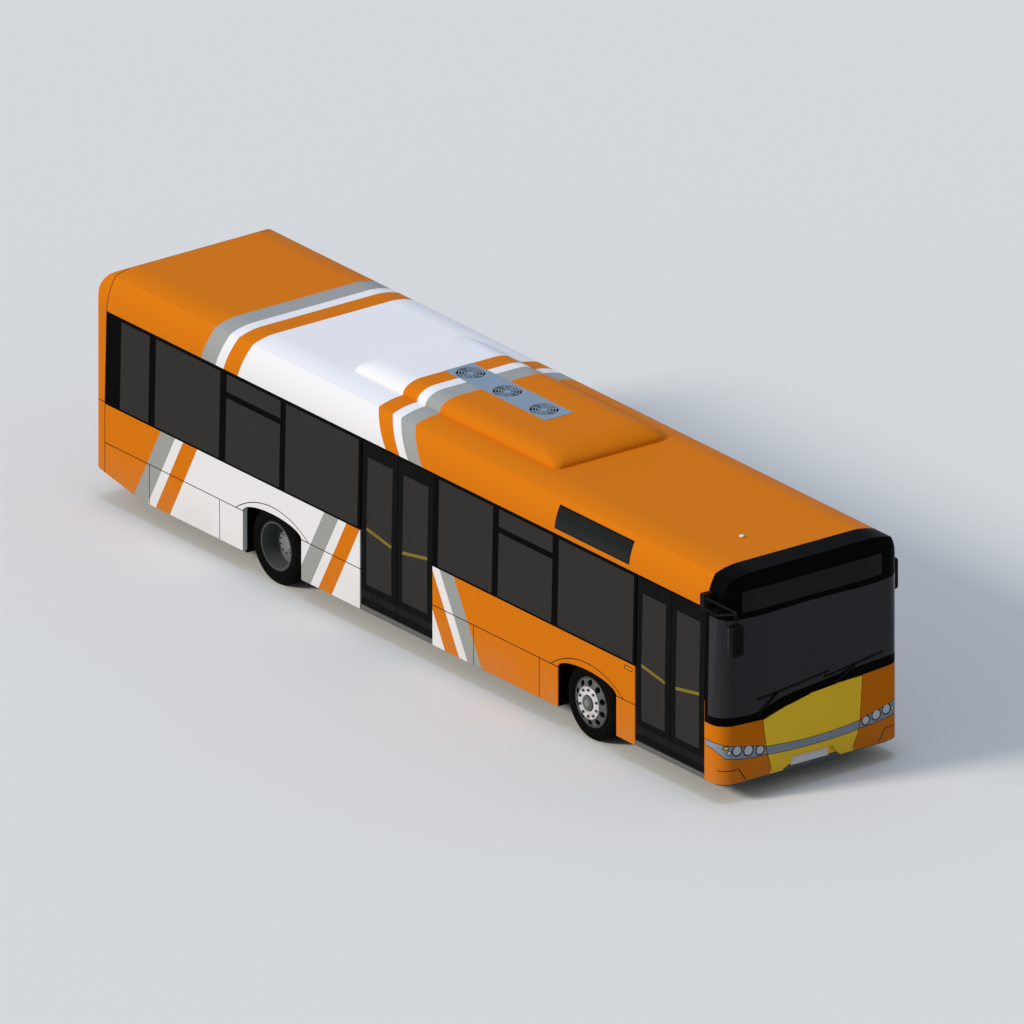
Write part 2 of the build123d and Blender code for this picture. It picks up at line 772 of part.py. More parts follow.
with BuildPart() as headlamps:
    add(lamp_bores(1 - seat_clearance))
    add(body_form(0), mode=Mode.INTERSECT)
save(headlamps.part, "headlamps")

pan_thickness = 6
plate_x = front_x - front_tuck - notch_depth - 8
with BuildPart() as pan:
    with BuildSketch(Plane.YZ.offset(plate_x - pan_thickness)):
        with BuildLine():
            outline = [(-392, 270), (-284, 400), (284, 400), (392, 270)]
            Polyline(*outline, outline[0])
        make_face()
    extrude(amount=pan_thickness)
    # rim from the pan forward to the flap's skin
    with BuildSketch(Plane.YZ.offset(plate_x - pan_thickness)):
        with BuildLine():
            Polyline(*outline, outline[0])
        make_face()
        with BuildLine():
            inner = [(-385, 262), (-279, 393), (279, 393), (385, 262)]
            Polyline(*inner, inner[0])
        make_face(mode=Mode.SUBTRACT)
    extrude(amount=front_x + 20 - plate_x)
    add(body_form(0), mode=Mode.INTERSECT)
notch_pan = pan.part

with BuildPart() as front_flap:
    add(flap_block(flap_gap))
    add(flap_layer, mode=Mode.INTERSECT)
    add(front_polygon(notch_edge), mode=Mode.SUBTRACT)
    # pan behind the plate's recess
    add(notch_pan)
    add(flap_hinge())
save(front_flap.part, "front_flap")

with BuildPart() as number_plate:
    cut_box((plate_x, plate_x + 4), (-plate_width / 2, plate_width / 2),
            (plate_z - plate_height / 2, plate_z + plate_height / 2), mode=Mode.ADD)
save(number_plate.part, "number_plate")

# ---- floor, deck and wheel housings --------------------------------------------
floor_front_x = front_x - wall_thickness

with BuildPart() as floor:
    cut_box((bulkhead_x, floor_front_x), (-inner_y, inner_y), (floor_bottom_z, floor_z),
            mode=Mode.ADD)
    for axle_x, half, depth in housing_table:
        for side in (1, -1):
            cut_box((axle_x - half, axle_x + half), outward(side, half_width - depth, half_width),
                    (floor_bottom_z - 5, floor_z + 5))
    cut_box((bulkhead_x - 40, bulkhead_x), (-inner_y, inner_y), (floor_bottom_z, deck_z),
            mode=Mode.ADD)
    cut_box((rear_cap_x, bulkhead_x), (-inner_y, inner_y), (deck_z - 40, deck_z),
            mode=Mode.ADD)
    for side in (1, -1):
        cut_box((rear_cap_x, bulkhead_x - 40), outward(side, 400, 470),
                (floor_bottom_z + 120, floor_bottom_z + 240), mode=Mode.ADD)
    for axle_x, half, depth in housing_table[:1]:
        for side in (1, -1):
            cut_box((axle_x - half, axle_x + half), outward(side, half_width - depth, half_width),
                    (floor_bottom_z - 5, housing_top_z))
    add(body_form(wall_thickness, extra_down=200), mode=Mode.INTERSECT)
save(floor.part, "floor")

with BuildPart() as wheel_housings:
    for axle_x, half, depth in housing_table:
        for side in (1, -1):
            near = half_width - depth
            add(housing_block(axle_x, half, near, inner_y, 0, side))
            add(housing_block(axle_x, half, near, inner_y + 50, housing_wall, side),
                mode=Mode.SUBTRACT)
save(wheel_housings.part, "wheel_housings")

with BuildPart() as engine_block:
    cut_box((rear_x + 420, rear_x + 1650), (-390, 390), (floor_bottom_z + 130, deck_z - 80),
            mode=Mode.ADD)
    cut_box((rear_x + 500, rear_x + 1570), (-470, 470),
            (floor_bottom_z + 240, floor_bottom_z + 300), mode=Mode.ADD)
save(engine_block.part, "engine_block")

# ---- axles and wheels ----------------------------------------------------------
beam_top_z = floor_bottom_z - seat_clearance
beam_height = 80
hub_plane = half_width - tyre_side_gap
kingpin_y = half_width - kingpin_inset
kingpin_radius = 22
hub_back = 60               # a hub reaches this far behind its wheel disc
front_disc_y = hub_plane + 20
twin_disc_y = hub_plane - (tyre_width + twin_spacing) / 2


def drop_beam(axle_x, reach):
    """Drop-centre axle beam under the floor, with an upright at each end."""
    with BuildPart() as beam:
        cut_box((axle_x - 60, axle_x + 60), (-reach, reach),
                (beam_top_z - beam_height, beam_top_z), mode=Mode.ADD)
        for side in (1, -1):
            cut_box((axle_x - 60, axle_x + 60), outward(side, reach - 54, reach),
                    (beam_top_z - beam_height, tyre_radius + 120), mode=Mode.ADD)
    return beam


with BuildPart() as front_axle:
    add(drop_beam(front_axle_x, kingpin_y - 60).part)
    for side in (1, -1):
        for z in (tyre_radius - 110, tyre_radius + 80):
            with BuildSketch(Plane.XY.offset(z)):
                with Locations((front_axle_x, side * kingpin_y)):
                    Circle(38)
                with Locations((front_axle_x, side * (kingpin_y - 40))):
                    Rectangle(60, 60)
            extrude(amount=40)
        with Locations((front_axle_x, side * kingpin_y, tyre_radius + 120)):
            Hole(kingpin_radius + pin_clearance, depth=240)
save(front_axle.part, "front_axle")

rear_reach = hub_plane - twin_spacing - tyre_width - 7
with BuildPart() as rear_axle:
    add(drop_beam(rear_axle_x, rear_reach).part)
    for side in (1, -1):
        with BuildSketch(Plane.XZ.offset(-side * rear_reach)):
            with Locations((rear_axle_x, tyre_radius)):
                Circle(70)
        extrude(amount=-side * (twin_disc_y - hub_back - seat_clearance - rear_reach))
save(rear_axle.part, "rear_axle")


def wheel_axis(axle_x):
    return Axis((axle_x, 0, tyre_radius), (0, 1, 0))


def wheel_plane(axle_x):
    """Half-section plane: x across the bus, y up from the wheel's axis."""
    return Plane(origin=(axle_x, 0, tyre_radius), x_dir=(0, 1, 0), z_dir=(1, 0, 0))


def tyre_set(axle_x, side, twin, name):
    with BuildPart() as tyre:
        for k in range(2 if twin else 1):
            y_out = hub_plane - k * twin_spacing
            y_in = y_out - tyre_width
            with BuildSketch(wheel_plane(axle_x)):
                with BuildLine():
                    Polyline((side * (y_in + 22), bead_radius), (side * y_in, bead_radius + 62),
                             (side * (y_in + 8), tyre_radius - shoulder),
                             (side * (y_in + shoulder), tyre_radius),
                             (side * (y_out - shoulder), tyre_radius),
                             (side * (y_out - 8), tyre_radius - shoulder),
                             (side * y_out, bead_radius + 62), (side * (y_out - 22), bead_radius),
                             (side * (y_in + 22), bead_radius))
                make_face()
            revolve(axis=wheel_axis(axle_x))
    save(tyre.part, name)


def rim_set(axle_x, side, twin, name):
    """Rim and disc: the front's disc bulges out, the twins' is a deep dish."""
    with BuildPart() as rim:
        for k in range(2 if twin else 1):
            y_out = hub_plane - k * twin_spacing
            with BuildSketch(wheel_plane(axle_x)):
                with BuildLine():
                    Polyline((side * (y_out - 17.5), rim_radius), (side * (y_out - 8), rim_radius),
                             (side * (y_out - 8), 270), (side * (y_out - tyre_width + 8), 270),
                             (side * (y_out - tyre_width + 8), rim_radius),
                             (side * (y_out - tyre_width + 17.5), rim_radius),
                             (side * (y_out - tyre_width + 22), bead_radius),
                             (side * (y_out - 22), bead_radius),
                             (side * (y_out - 17.5), rim_radius))
                make_face()
            revolve(axis=wheel_axis(axle_x))
        if twin:
            # the two dished discs meet back to back between the tyres
            disc_y = twin_disc_y
            with BuildSketch(wheel_plane(axle_x)):
                with BuildLine():
                    Polyline((side * (disc_y + 12), bore_radius), (side * (disc_y + 12), 200),
                             (side * (disc_y + 70), 272), (side * (disc_y + 48), 272),
                             (side * disc_y, 212), (side * (disc_y - 48), 272),
                             (side * (disc_y - 70), 272), (side * (disc_y - 12), 200),
                             (side * (disc_y - 12), bore_radius),
                             (side * (disc_y + 12), bore_radius))
                make_face()
            revolve(axis=wheel_axis(axle_x))
        else:
            disc_y = front_disc_y
            with BuildSketch(wheel_plane(axle_x)):
                with BuildLine():
                    Polyline((side * disc_y, bore_radius), (side * disc_y, 190),
                             (side * (disc_y - 80), 272), (side * (disc_y - 100), 272),
                             (side * (disc_y - 18), 182), (side * (disc_y - 18), bore_radius),
                             (side * disc_y, bore_radius))
                make_face()
            revolve(axis=wheel_axis(axle_x))
            with BuildSketch(Plane(origin=(axle_x, side * (disc_y + 20), tyre_radius),
                                   z_dir=(0, side, 0))):
                with PolarLocations(hand_hole_ring, hand_holes):
                    Circle(hand_hole_radius)
            extrude(amount=-150, mode=Mode.SUBTRACT)
        hub_radius, hub_out = (140, 130) if twin else (92, 27)
        with BuildSketch(Plane(origin=(axle_x, side * (disc_y - hub_back), tyre_radius),
                               z_dir=(0, side, 0))):
            Circle(hub_radius)
        extrude(amount=hub_out + hub_back)
    save(rim.part, name)


for side, side_name in ((1, "left"), (-1, "right")):
    tyre_set(front_axle_x, side, False, f"tyre_front_{side_name}")
    rim_set(front_axle_x, side, False, f"rim_front_{side_name}")
    tyre_set(rear_axle_x, side, True, f"tyres_rear_{side_name}")
    rim_set(rear_axle_x, side, True, f"rims_rear_{side_name}")
    with BuildPart() as knuckle:
        with BuildSketch(Plane.XY.offset(tyre_radius - 110)):
            with Locations((front_axle_x, side * kingpin_y)):
                Circle(kingpin_radius)
        extrude(amount=230)
        with BuildSketch(Plane.XY.offset(tyre_radius - 69)):
            with Locations((front_axle_x, side * kingpin_y)):
                Circle(40)
        extrude(amount=148)
        with BuildSketch(Plane(origin=(front_axle_x, side * kingpin_y, tyre_radius),
                               z_dir=(0, side, 0))):
            Circle(45)
        extrude(amount=front_disc_y - hub_back - seat_clearance - kingpin_y)
    save(knuckle.part, f"knuckle_{side_name}")

# ---- doors ---------------------------------------------------------------------
leaf_low_z = sill_top_z + door_gap
leaf_high_z = door_top_z - door_gap
leaf_outer_y = -(half_width - leaf_recess)
leaf_inner_y = leaf_outer_y + leaf_thickness
pivot_y = leaf_inner_y + pivot_offset
arm_low_z = floor_z + 6
arm_high_z = leaf_high_z + 8
header_low_z = arm_high_z + arm_height + 8


def leaf_table():
    """name, direction to the meeting edge, outer edge, meeting edge, column x, arm length."""
    rows = []
    for door, rear_edge, front_edge in door_apertures:
        middle = (rear_edge + front_edge) / 2
        for end, edge, toward in (("rear", rear_edge, 1), ("front", front_edge, -1)):
            meeting = middle - toward * meeting_gap / 2
            column_x = edge - toward * post_offset
            arm = (abs(meeting - column_x) - guide_end) / 2
            rows.append((f"{door}_{end}", toward, edge + toward * door_edge_gap, meeting,
                         column_x, arm))
    return rows


def span(a, b):
    return (min(a, b), max(a, b))


leaf_form = body_form(leaf_recess)
door_glazing = ring_form(leaf_recess, leaf_recess + glass_thickness)


def door_pane(glass_x, inset):
    """A leaf's glass as a layer of its outer face."""
    with BuildPart() as pane:
        cut_box((glass_x[0] + inset, glass_x[1] - inset), (-half_width, leaf_inner_y),
                (door_glass_bottom_z + inset, door_glass_top_z - inset), mode=Mode.ADD)
        add(door_glazing, mode=Mode.INTERSECT)
    return pane.part


def door_leaf(name, toward, outer, meeting, column_x, arm):
    pivot_x = column_x + toward * arm
    guide_x = column_x + toward * 2 * arm
    y = (leaf_outer_y, leaf_inner_y)
    glass_x = span(outer + toward * door_stile, meeting - toward * door_stile)
    with BuildPart() as leaf:
        cut_box(span(outer, meeting), y, (leaf_low_z, leaf_high_z), mode=Mode.ADD)
        add(leaf_form, mode=Mode.INTERSECT)
        cut_box((glass_x[0] + 15, glass_x[1] - 15), (y[0] - 5, y[1] + 5),
                (door_glass_bottom_z + 15, door_glass_top_z - 15))
        add(door_pane(glass_x, 0), mode=Mode.SUBTRACT)
        middle = (outer + meeting) / 2
        with BuildSketch(Plane.XZ.offset(half_width - leaf_recess - groove_depth)):
            with Locations((middle, vent_z)):
                RectangleRounded(vent_width, vent_height, vent_height / 2 - 2)
        extrude(amount=10, mode=Mode.SUBTRACT)
        # top flange with the pivot and guide pins, bottom flange with the lower pin
        cut_box(span(pivot_x - toward * 30, guide_x + toward * 20), (y[1], pivot_y + 22),
                (leaf_high_z - 12, leaf_high_z), mode=Mode.ADD)
        cut_box((pivot_x - 30, pivot_x + 30), (y[1], pivot_y + 22),
                (leaf_low_z, leaf_low_z + 12), mode=Mode.ADD)
        for x, low, high, radius in (
                (pivot_x, leaf_high_z, arm_high_z - seat_clearance, 18),
                (pivot_x, leaf_high_z, arm_high_z + arm_height, pivot_pin_radius),
                (pivot_x, arm_low_z + arm_height + seat_clearance, leaf_low_z, 18),
                (pivot_x, arm_low_z, leaf_low_z, pivot_pin_radius),
                (guide_x, leaf_high_z, header_low_z + 14, pivot_pin_radius - 2)):
            with BuildSketch(Plane.XY.offset(low)):
                with Locations((x, pivot_y)):
                    Circle(radius)
            extrude(amount=high - low)
        # grab bar across the inner face on two stand-offs
        bar_y = y[1] + 45
        bar_ends = (outer + toward * 55, meeting - toward * 55)
        with BuildSketch(Plane.YZ.offset(min(bar_ends))):
            with Locations((bar_y, grab_bar_z)):
                Circle(grab_bar_radius)
        extrude(amount=abs(bar_ends[1] - bar_ends[0]))
        for x in (outer + toward * 70, meeting - toward * 70):
            with BuildSketch(Plane.XZ.offset(-bar_y)):
                with Locations((x, grab_bar_z)):
                    Circle(grab_bar_radius - 3)
            extrude(amount=bar_y - y[1])
    save(leaf.part, f"door_{name}")
    save(door_pane(glass_x, seal_gap), f"door_glass_{name}")
    with BuildPart() as arm_piece:
        with BuildSketch(Plane.XY.offset(floor_z + seat_clearance)):
            with Locations((column_x, pivot_y)):
                Circle(column_radius)
        extrude(amount=header_low_z - floor_z - 2 * seat_clearance)
        for z in (arm_low_z, arm_high_z):
            with BuildSketch(Plane.XY.offset(z)):
                with Locations(((column_x + pivot_x) / 2, pivot_y)):
                    Rectangle(arm, arm_width)
                with Locations((pivot_x, pivot_y)):
                    Circle(arm_width / 2)
            extrude(amount=arm_height)
            with Locations((pivot_x, pivot_y, z + arm_height)):
                Hole(pivot_pin_radius + pin_clearance, depth=arm_height)
    save(arm_piece.part, f"door_arm_{name}")


for row in leaf_table():
    door_leaf(*row)

with BuildPart() as door_headers:
    for door, rear_edge, front_edge in door_apertures:
        ends = (rear_edge - post_offset - 40, front_edge + post_offset + 40)
        cut_box(ends, (-inner_y, pivot_y + 60), (header_low_z, header_low_z + 90), mode=Mode.ADD)
        for name, toward, outer, meeting, column_x, arm in leaf_table():
            if name.startswith(door):
                far = column_x + toward * (2 * arm + 12)
                near = column_x + toward * (2 * arm * cos(radians(door_open_limit)) - 14)
                cut_box(span(near, far), (pivot_y - 15, pivot_y + 15),
                        (header_low_z - 1, header_low_z + 30))
    add(body_form(wall_thickness, extra_down=50), mode=Mode.INTERSECT)
save(door_headers.part, "door_headers")

with BuildPart() as door_sills:
    for _, rear_edge, front_edge in door_apertures:
        cut_box((rear_edge, front_edge), (-half_width + 4, -inner_y), (skirt_z, sill_top_z),
                mode=Mode.ADD)
save(door_sills.part, "door_sills")

# ---- mirrors and wipers --------------------------------------------------------
mirror_half_span = 1450
mirror_width = 170          # across the bus
mirror_depth = 140
mirror_edge = 45
flute_radius = 9
tube_radius = 14
# head: x of its middle, side, lower and upper z
mirror_heads = [(front_x + mirror_reach - mirror_depth / 2, -1, 1988, 2358),
                (mask_x - 33, 1, 1910, 2280)]
tube_y = mirror_half_span - mirror_width / 2
# tube: side, then its corner points (x, |y|, z)
mirror_tip_x = front_x + mirror_reach
mirror_tubes = [
    (-1, [(mask_x + 111, tube_y, 2513), (mirror_tip_x - 70, tube_y, 2513),
          (mirror_tip_x - 70, tube_y, 2350)]),
    (-1, [(mask_x + 111, tube_y, 2395), (mask_x + 343, tube_y, 2363),
          (mirror_tip_x - 115, tube_y, 2480), (mirror_tip_x - 70, tube_y, 2513)]),
    (1, [(mask_x - 72, half_width - 130, 2505), (mask_x - 72, tube_y, 2505),
         (mask_x - 33, tube_y, 2440), (mask_x - 33, tube_y, 2270)]),
]
with BuildPart() as mirrors:
    for x, side, low, high in mirror_heads:
        with BuildSketch(Plane.XY.offset(low)):
            with Locations((x, side * tube_y)):
                RectangleRounded(mirror_depth, mirror_width, mirror_edge)
        extrude(amount=high - low)
        fillet(mirrors.faces().group_by(Axis.Z)[-1].edges() if side < 0 else
               mirrors.edges().filter_by(lambda e: abs(e.center().Z - high) < 0.1
                                         and e.center().Y > 0), 30)
        fillet(mirrors.edges().filter_by(lambda e: abs(e.center().Z - low) < 0.1), 30)
        # flutes down the back of the housing, which faces forward
        for k in range(-2, 3):
            with BuildSketch(Plane.XY.offset(low + 45)):
                with Locations((x + mirror_depth / 2, side * tube_y + k * 22)):
                    Circle(flute_radius / 2)
            extrude(amount=high - low - 90, mode=Mode.SUBTRACT)
    for side, corners in mirror_tubes:
        points = [Vector(x, side * y, z) for x, y, z in corners]
        for start, end in zip(points, points[1:]):
            along = (end - start).normalized()
            with BuildSketch(Plane(origin=start, z_dir=along)):
                Circle(tube_radius)
            extrude(amount=(end - start).length)
        for point in points[1:-1]:
            with Locations((point.X, point.Y, point.Z)):
                Sphere(tube_radius)
    # brackets out from the front pillars
    cut_box((mask_x + 53, mask_x + 133), (-tube_y - 15, -half_width + 60), (2360, 2545),
            mode=Mode.ADD)
    add(body_form(0), mode=Mode.SUBTRACT)
save(mirrors.part, "mirrors")

# wiper: pivot, arm's outer end, blade's two ends, all (y, z)
wiper_table = [((-781, 1010), (-525, 1220), (-781, 1199), (205, 1318)),
               ((300, 1180), (560, 1290), (150, 1262), (1000, 1352))]
blade_height = 14
arm_section = 18
wiper_stand = 16            # the blades stand this far off the glass
with BuildPart() as wipers:
    for pivot, elbow, blade_a, blade_b in wiper_table:
        for (start, end), near, size in (((pivot, elbow), wiper_stand - 4, arm_section),
                                         ((blade_a, blade_b), 1, blade_height)):
            run = sqrt((end[0] - start[0]) ** 2 + (end[1] - start[1]) ** 2)
            turn = degrees(atan2(end[1] - start[1], end[0] - start[0]))
            with BuildPart() as bar:
                with BuildSketch(Plane.YZ.offset(mask_x + 100)):
                    with Locations(Location(((start[0] + end[0]) / 2, (start[1] + end[1]) / 2, 0),
                                            (0, 0, turn))):
                        Rectangle(run + size, size)
                extrude(amount=front_x + 60 - mask_x)
                add(face_layer(near, near + 12), mode=Mode.INTERSECT)
            add(bar.part)
        for y, z in (pivot, elbow):
            with BuildPart() as boss:
                with BuildSketch(Plane.YZ.offset(mask_x + 100)):
                    with Locations((y, z)):
                        Circle(16)
                extrude(amount=front_x + 60 - mask_x)
                add(face_layer(0 if (y, z) == pivot else 1, wiper_stand + 10),
                    mode=Mode.INTERSECT)
            add(boss.part)
save(wipers.part, "wipers")

# ---- inside --------------------------------------------------------------------
seat_width = 430
seat_length = 420
seat_depth = 110            # cushion's thickness
back_thickness = 80
back_height = 560
pad_radius = 28
seat_side_y = 960           # middle of the seats over the wheel housings
rear_row_y = (-940, -470, 0, 470, 940)


def seat(x, y, base):
    """A bench seat's cushion and back, facing forward, from its rear edge x."""
    with BuildPart() as pads:
        with BuildSketch(Plane.XY.offset(base)):
            with Locations((x + seat_length / 2, y)):
                RectangleRounded(seat_length, seat_width, 60)
        extrude(amount=seat_depth)
        fillet(pads.faces().sort_by(Axis.Z)[-1].edges(), pad_radius)
    with BuildPart() as back:
        with BuildSketch(Plane.XZ.offset(-y - seat_width / 2)):
            with BuildLine():
                Polyline((x + 4, base), (x + back_thickness, base),
                         (x + back_thickness - 20, base + seat_depth + back_height),
                         (x - 40, base + seat_depth + back_height), (x + 4, base))
            make_face()
        extrude(amount=seat_width)
        fillet(back.edges().filter_by(Axis.Y).group_by(Axis.Z)[-1], pad_radius)
    with BuildPart() as whole:
        add(pads.part)
        add(back.part)
    return whole.part


seat_rows = [(rear_axle_x - 400, side * seat_side_y, housing_top_z) for side in (1, -1)]
seat_rows += [(front_axle_x - 480, side * seat_side_y, housing_top_z) for side in (1, -1)]
seat_rows += [(rear_cap_x + 130, y, deck_z) for y in rear_row_y]
with BuildPart() as seats:
    for row in seat_rows:
        add(seat(*row))
    # moulded risers between the seats and the housings' tops
    add(body_form(wall_thickness + 2), mode=Mode.INTERSECT)
save(seats.part, "seats")

cab_inner_y = 250           # the cab's partition, from the middle plane
cab_front_x = mask_x + 248      # where the dashboard meets the front wall
cab_rear_x = cab_front_x - 1500
driver_y = 680
driver_seat_z = 700
with BuildPart() as driver_cab:
    # dashboard: a sloping binnacle on a footwell box, then the partition behind the seat
    with BuildSketch(Plane.XZ.offset(-inner_y + 10)):
        with BuildLine():
            Polyline((cab_front_x - 130, floor_z + seat_clearance), (cab_front_x - 300, floor_z + seat_clearance),
                     (cab_front_x - 300, 700), (cab_front_x - 520, 860), (cab_front_x - 480, 960),
                     (cab_front_x - 320, 1010), (cab_front_x - 130, 1000), (cab_front_x - 130, floor_z + seat_clearance))
        make_face()
    extrude(amount=inner_y - 10 - cab_inner_y)
    with BuildSketch(Plane.YZ.offset(cab_rear_x - 40)) as partition:
        with Locations(((cab_inner_y + inner_y - 10) / 2, (floor_z + 2000) / 2)):
            Rectangle(inner_y - 10 - cab_inner_y, 2000 - floor_z)
        fillet(partition.vertices().group_by(Axis.Y)[-1].sort_by(Axis.X)[0], 120)
    extrude(amount=40)
    add(body_form(wall_thickness + 2, extra_down=5), mode=Mode.INTERSECT)
save(driver_cab.part, "driver_cab")

with BuildPart() as driver_seat:
    with BuildSketch(Plane.XY.offset(floor_z)):
        with Locations((cab_front_x - 1120, driver_y)):
            RectangleRounded(300, 300, 40)
    extrude(amount=driver_seat_z - seat_depth - floor_z)
    add(seat(cab_front_x - 1330, driver_y, driver_seat_z - seat_depth))
    with BuildSketch(Plane.XY.offset(driver_seat_z + back_height - 10)):
        with Locations((cab_front_x - 1338, driver_y)):
            RectangleRounded(80, 260, 35)
    extrude(amount=190)
save(driver_seat.part, "driver_seat")

with BuildPart() as steering_wheel:
    with Locations(Location((cab_front_x - 620, 680, 1010), (0, -35, 0))):
        Torus(220, 15)
        Cylinder(45, 30)
        Box(430, 30, 14)
        with Locations((0, 0, -190)):
            Cylinder(28, 380)
    add(driver_cab.part, mode=Mode.SUBTRACT)
save(steering_wheel.part, "steering_wheel")

rail_y = 470
rail_z = 2050
pole_radius = 17
rail_radius = 15
pole_stations = (900, 1400, 3300, 5100, 6580)       # from the rear axle
with BuildPart() as handrails:
    for station in pole_stations:
        for side in (1, -1):
            with BuildSketch(Plane.XY.offset(floor_z)):
                with Locations((rear_axle_x + station, side * rail_y)):
                    Circle(pole_radius)
            extrude(amount=roof_z - wall_thickness - floor_z)
    for side in (1, -1):
        with BuildSketch(Plane.YZ.offset(rear_axle_x + pole_stations[0] - 50)):
            with Locations((side * rail_y, rail_z)):
                Circle(rail_radius)
        extrude(amount=wheelbase - 50)
save(handrails.part, "handrails")
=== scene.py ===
import bpy
from math import cos, pi, radians, sin
from mathutils import Matrix, Vector


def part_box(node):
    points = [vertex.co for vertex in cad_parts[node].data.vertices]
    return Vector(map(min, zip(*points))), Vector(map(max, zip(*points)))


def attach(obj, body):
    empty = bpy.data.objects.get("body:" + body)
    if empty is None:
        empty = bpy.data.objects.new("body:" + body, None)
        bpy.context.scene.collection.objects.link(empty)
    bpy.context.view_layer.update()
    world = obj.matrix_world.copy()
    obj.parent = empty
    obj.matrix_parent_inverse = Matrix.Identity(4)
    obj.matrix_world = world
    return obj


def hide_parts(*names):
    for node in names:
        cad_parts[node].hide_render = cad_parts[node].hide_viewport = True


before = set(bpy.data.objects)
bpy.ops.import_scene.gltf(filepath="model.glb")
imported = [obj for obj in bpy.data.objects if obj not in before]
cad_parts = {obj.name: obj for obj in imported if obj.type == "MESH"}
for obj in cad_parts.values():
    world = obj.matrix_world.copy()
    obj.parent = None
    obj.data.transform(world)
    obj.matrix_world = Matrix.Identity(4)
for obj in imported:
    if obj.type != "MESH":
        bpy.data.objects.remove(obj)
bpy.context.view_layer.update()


stations = {      # metres, heights above the ground
    "rearAxle": -2.765,
    "frontAxle": 3.135,
    "maskSeam": 5.337,
    "rearCapSeam": -5.897,
    "beltLine": 1.195,
    "bandTop": 2.315,
    "tyreRadius": 0.455,
    "hubPlane": 1.225,
}

cameraSetup = {
    "target": Vector((-0.488, 0.395, 1.213)),
    "back": Vector((0.741, -0.558, 0.373)),
    "distance": 60,
    "width": 11.539,
    "clip": (1, 300),
}


def placeCamera():
    cameraData = bpy.data.cameras.new("studioCamera")
    cameraData.type = "ORTHO"
    cameraData.ortho_scale = cameraSetup["width"]
    cameraData.clip_start, cameraData.clip_end = cameraSetup["clip"]
    camera = bpy.data.objects.new("studioCamera", cameraData)
    bpy.context.collection.objects.link(camera)
    back = cameraSetup["back"].normalized()
    camera.location = cameraSetup["target"] + back * cameraSetup["distance"]
    camera.rotation_euler = back.to_track_quat("Z", "Y").to_euler()
    bpy.context.scene.camera = camera


placeCamera()
print("camera placed")

lightSetup = {
    "worldColour": (0.80, 0.90, 1.0, 1),
    "worldStrength": 0.46,
    "backdropColour": (0.655, 0.69, 0.73, 1),
    "lights": {      # strength, colour, the way to it, degrees across
        "keySun": (2.35, (1.0, 0.965, 0.93), (-0.22, -0.87, 0.50), 12),
        "topLight": (0.9, (0.47, 0.61, 1.0), (0, 0, 1), 20),
    },
    "floorColour": (0.76, 0.73, 0.66),
    "floorDusty": (0.73, 0.70, 0.63),
    "floorBounce": (0.395, 0.38, 0.34),
    "floorSize": 120,
}


def lightStudio():
    world = bpy.data.worlds.new("studioWorld")
    bpy.context.scene.world = world
    world.use_nodes = True
    nodes, links = world.node_tree.nodes, world.node_tree.links
    nodes.clear()
    output = nodes.new("ShaderNodeOutputWorld")
    sky = nodes.new("ShaderNodeBackground")
    sky.inputs["Color"].default_value = lightSetup["worldColour"]
    sky.inputs["Strength"].default_value = lightSetup["worldStrength"]
    seen = nodes.new("ShaderNodeBackground")
    seen.inputs["Color"].default_value = lightSetup["backdropColour"]
    path = nodes.new("ShaderNodeLightPath")
    mix = nodes.new("ShaderNodeMixShader")
    links.new(path.outputs["Is Camera Ray"], mix.inputs[0])
    links.new(sky.outputs[0], mix.inputs[1])
    links.new(seen.outputs[0], mix.inputs[2])
    links.new(mix.outputs[0], output.inputs["Surface"])
    for name, (strength, colour, way, across) in lightSetup["lights"].items():
        lightData = bpy.data.lights.new(name, "SUN")
        lightData.energy, lightData.color, lightData.angle = strength, colour, radians(across)
        light = bpy.data.objects.new(name, lightData)
        bpy.context.collection.objects.link(light)
        light.rotation_euler = Vector(way).to_track_quat("Z", "Y").to_euler()


lightStudio()
bpy.context.scene.view_settings.view_transform = "Standard"
print("studio lit")


def mathsNode(operation):      # makes a Recipe method for one kind of maths node
    return lambda recipe, first, second=None: recipe.maths(operation, first, second)


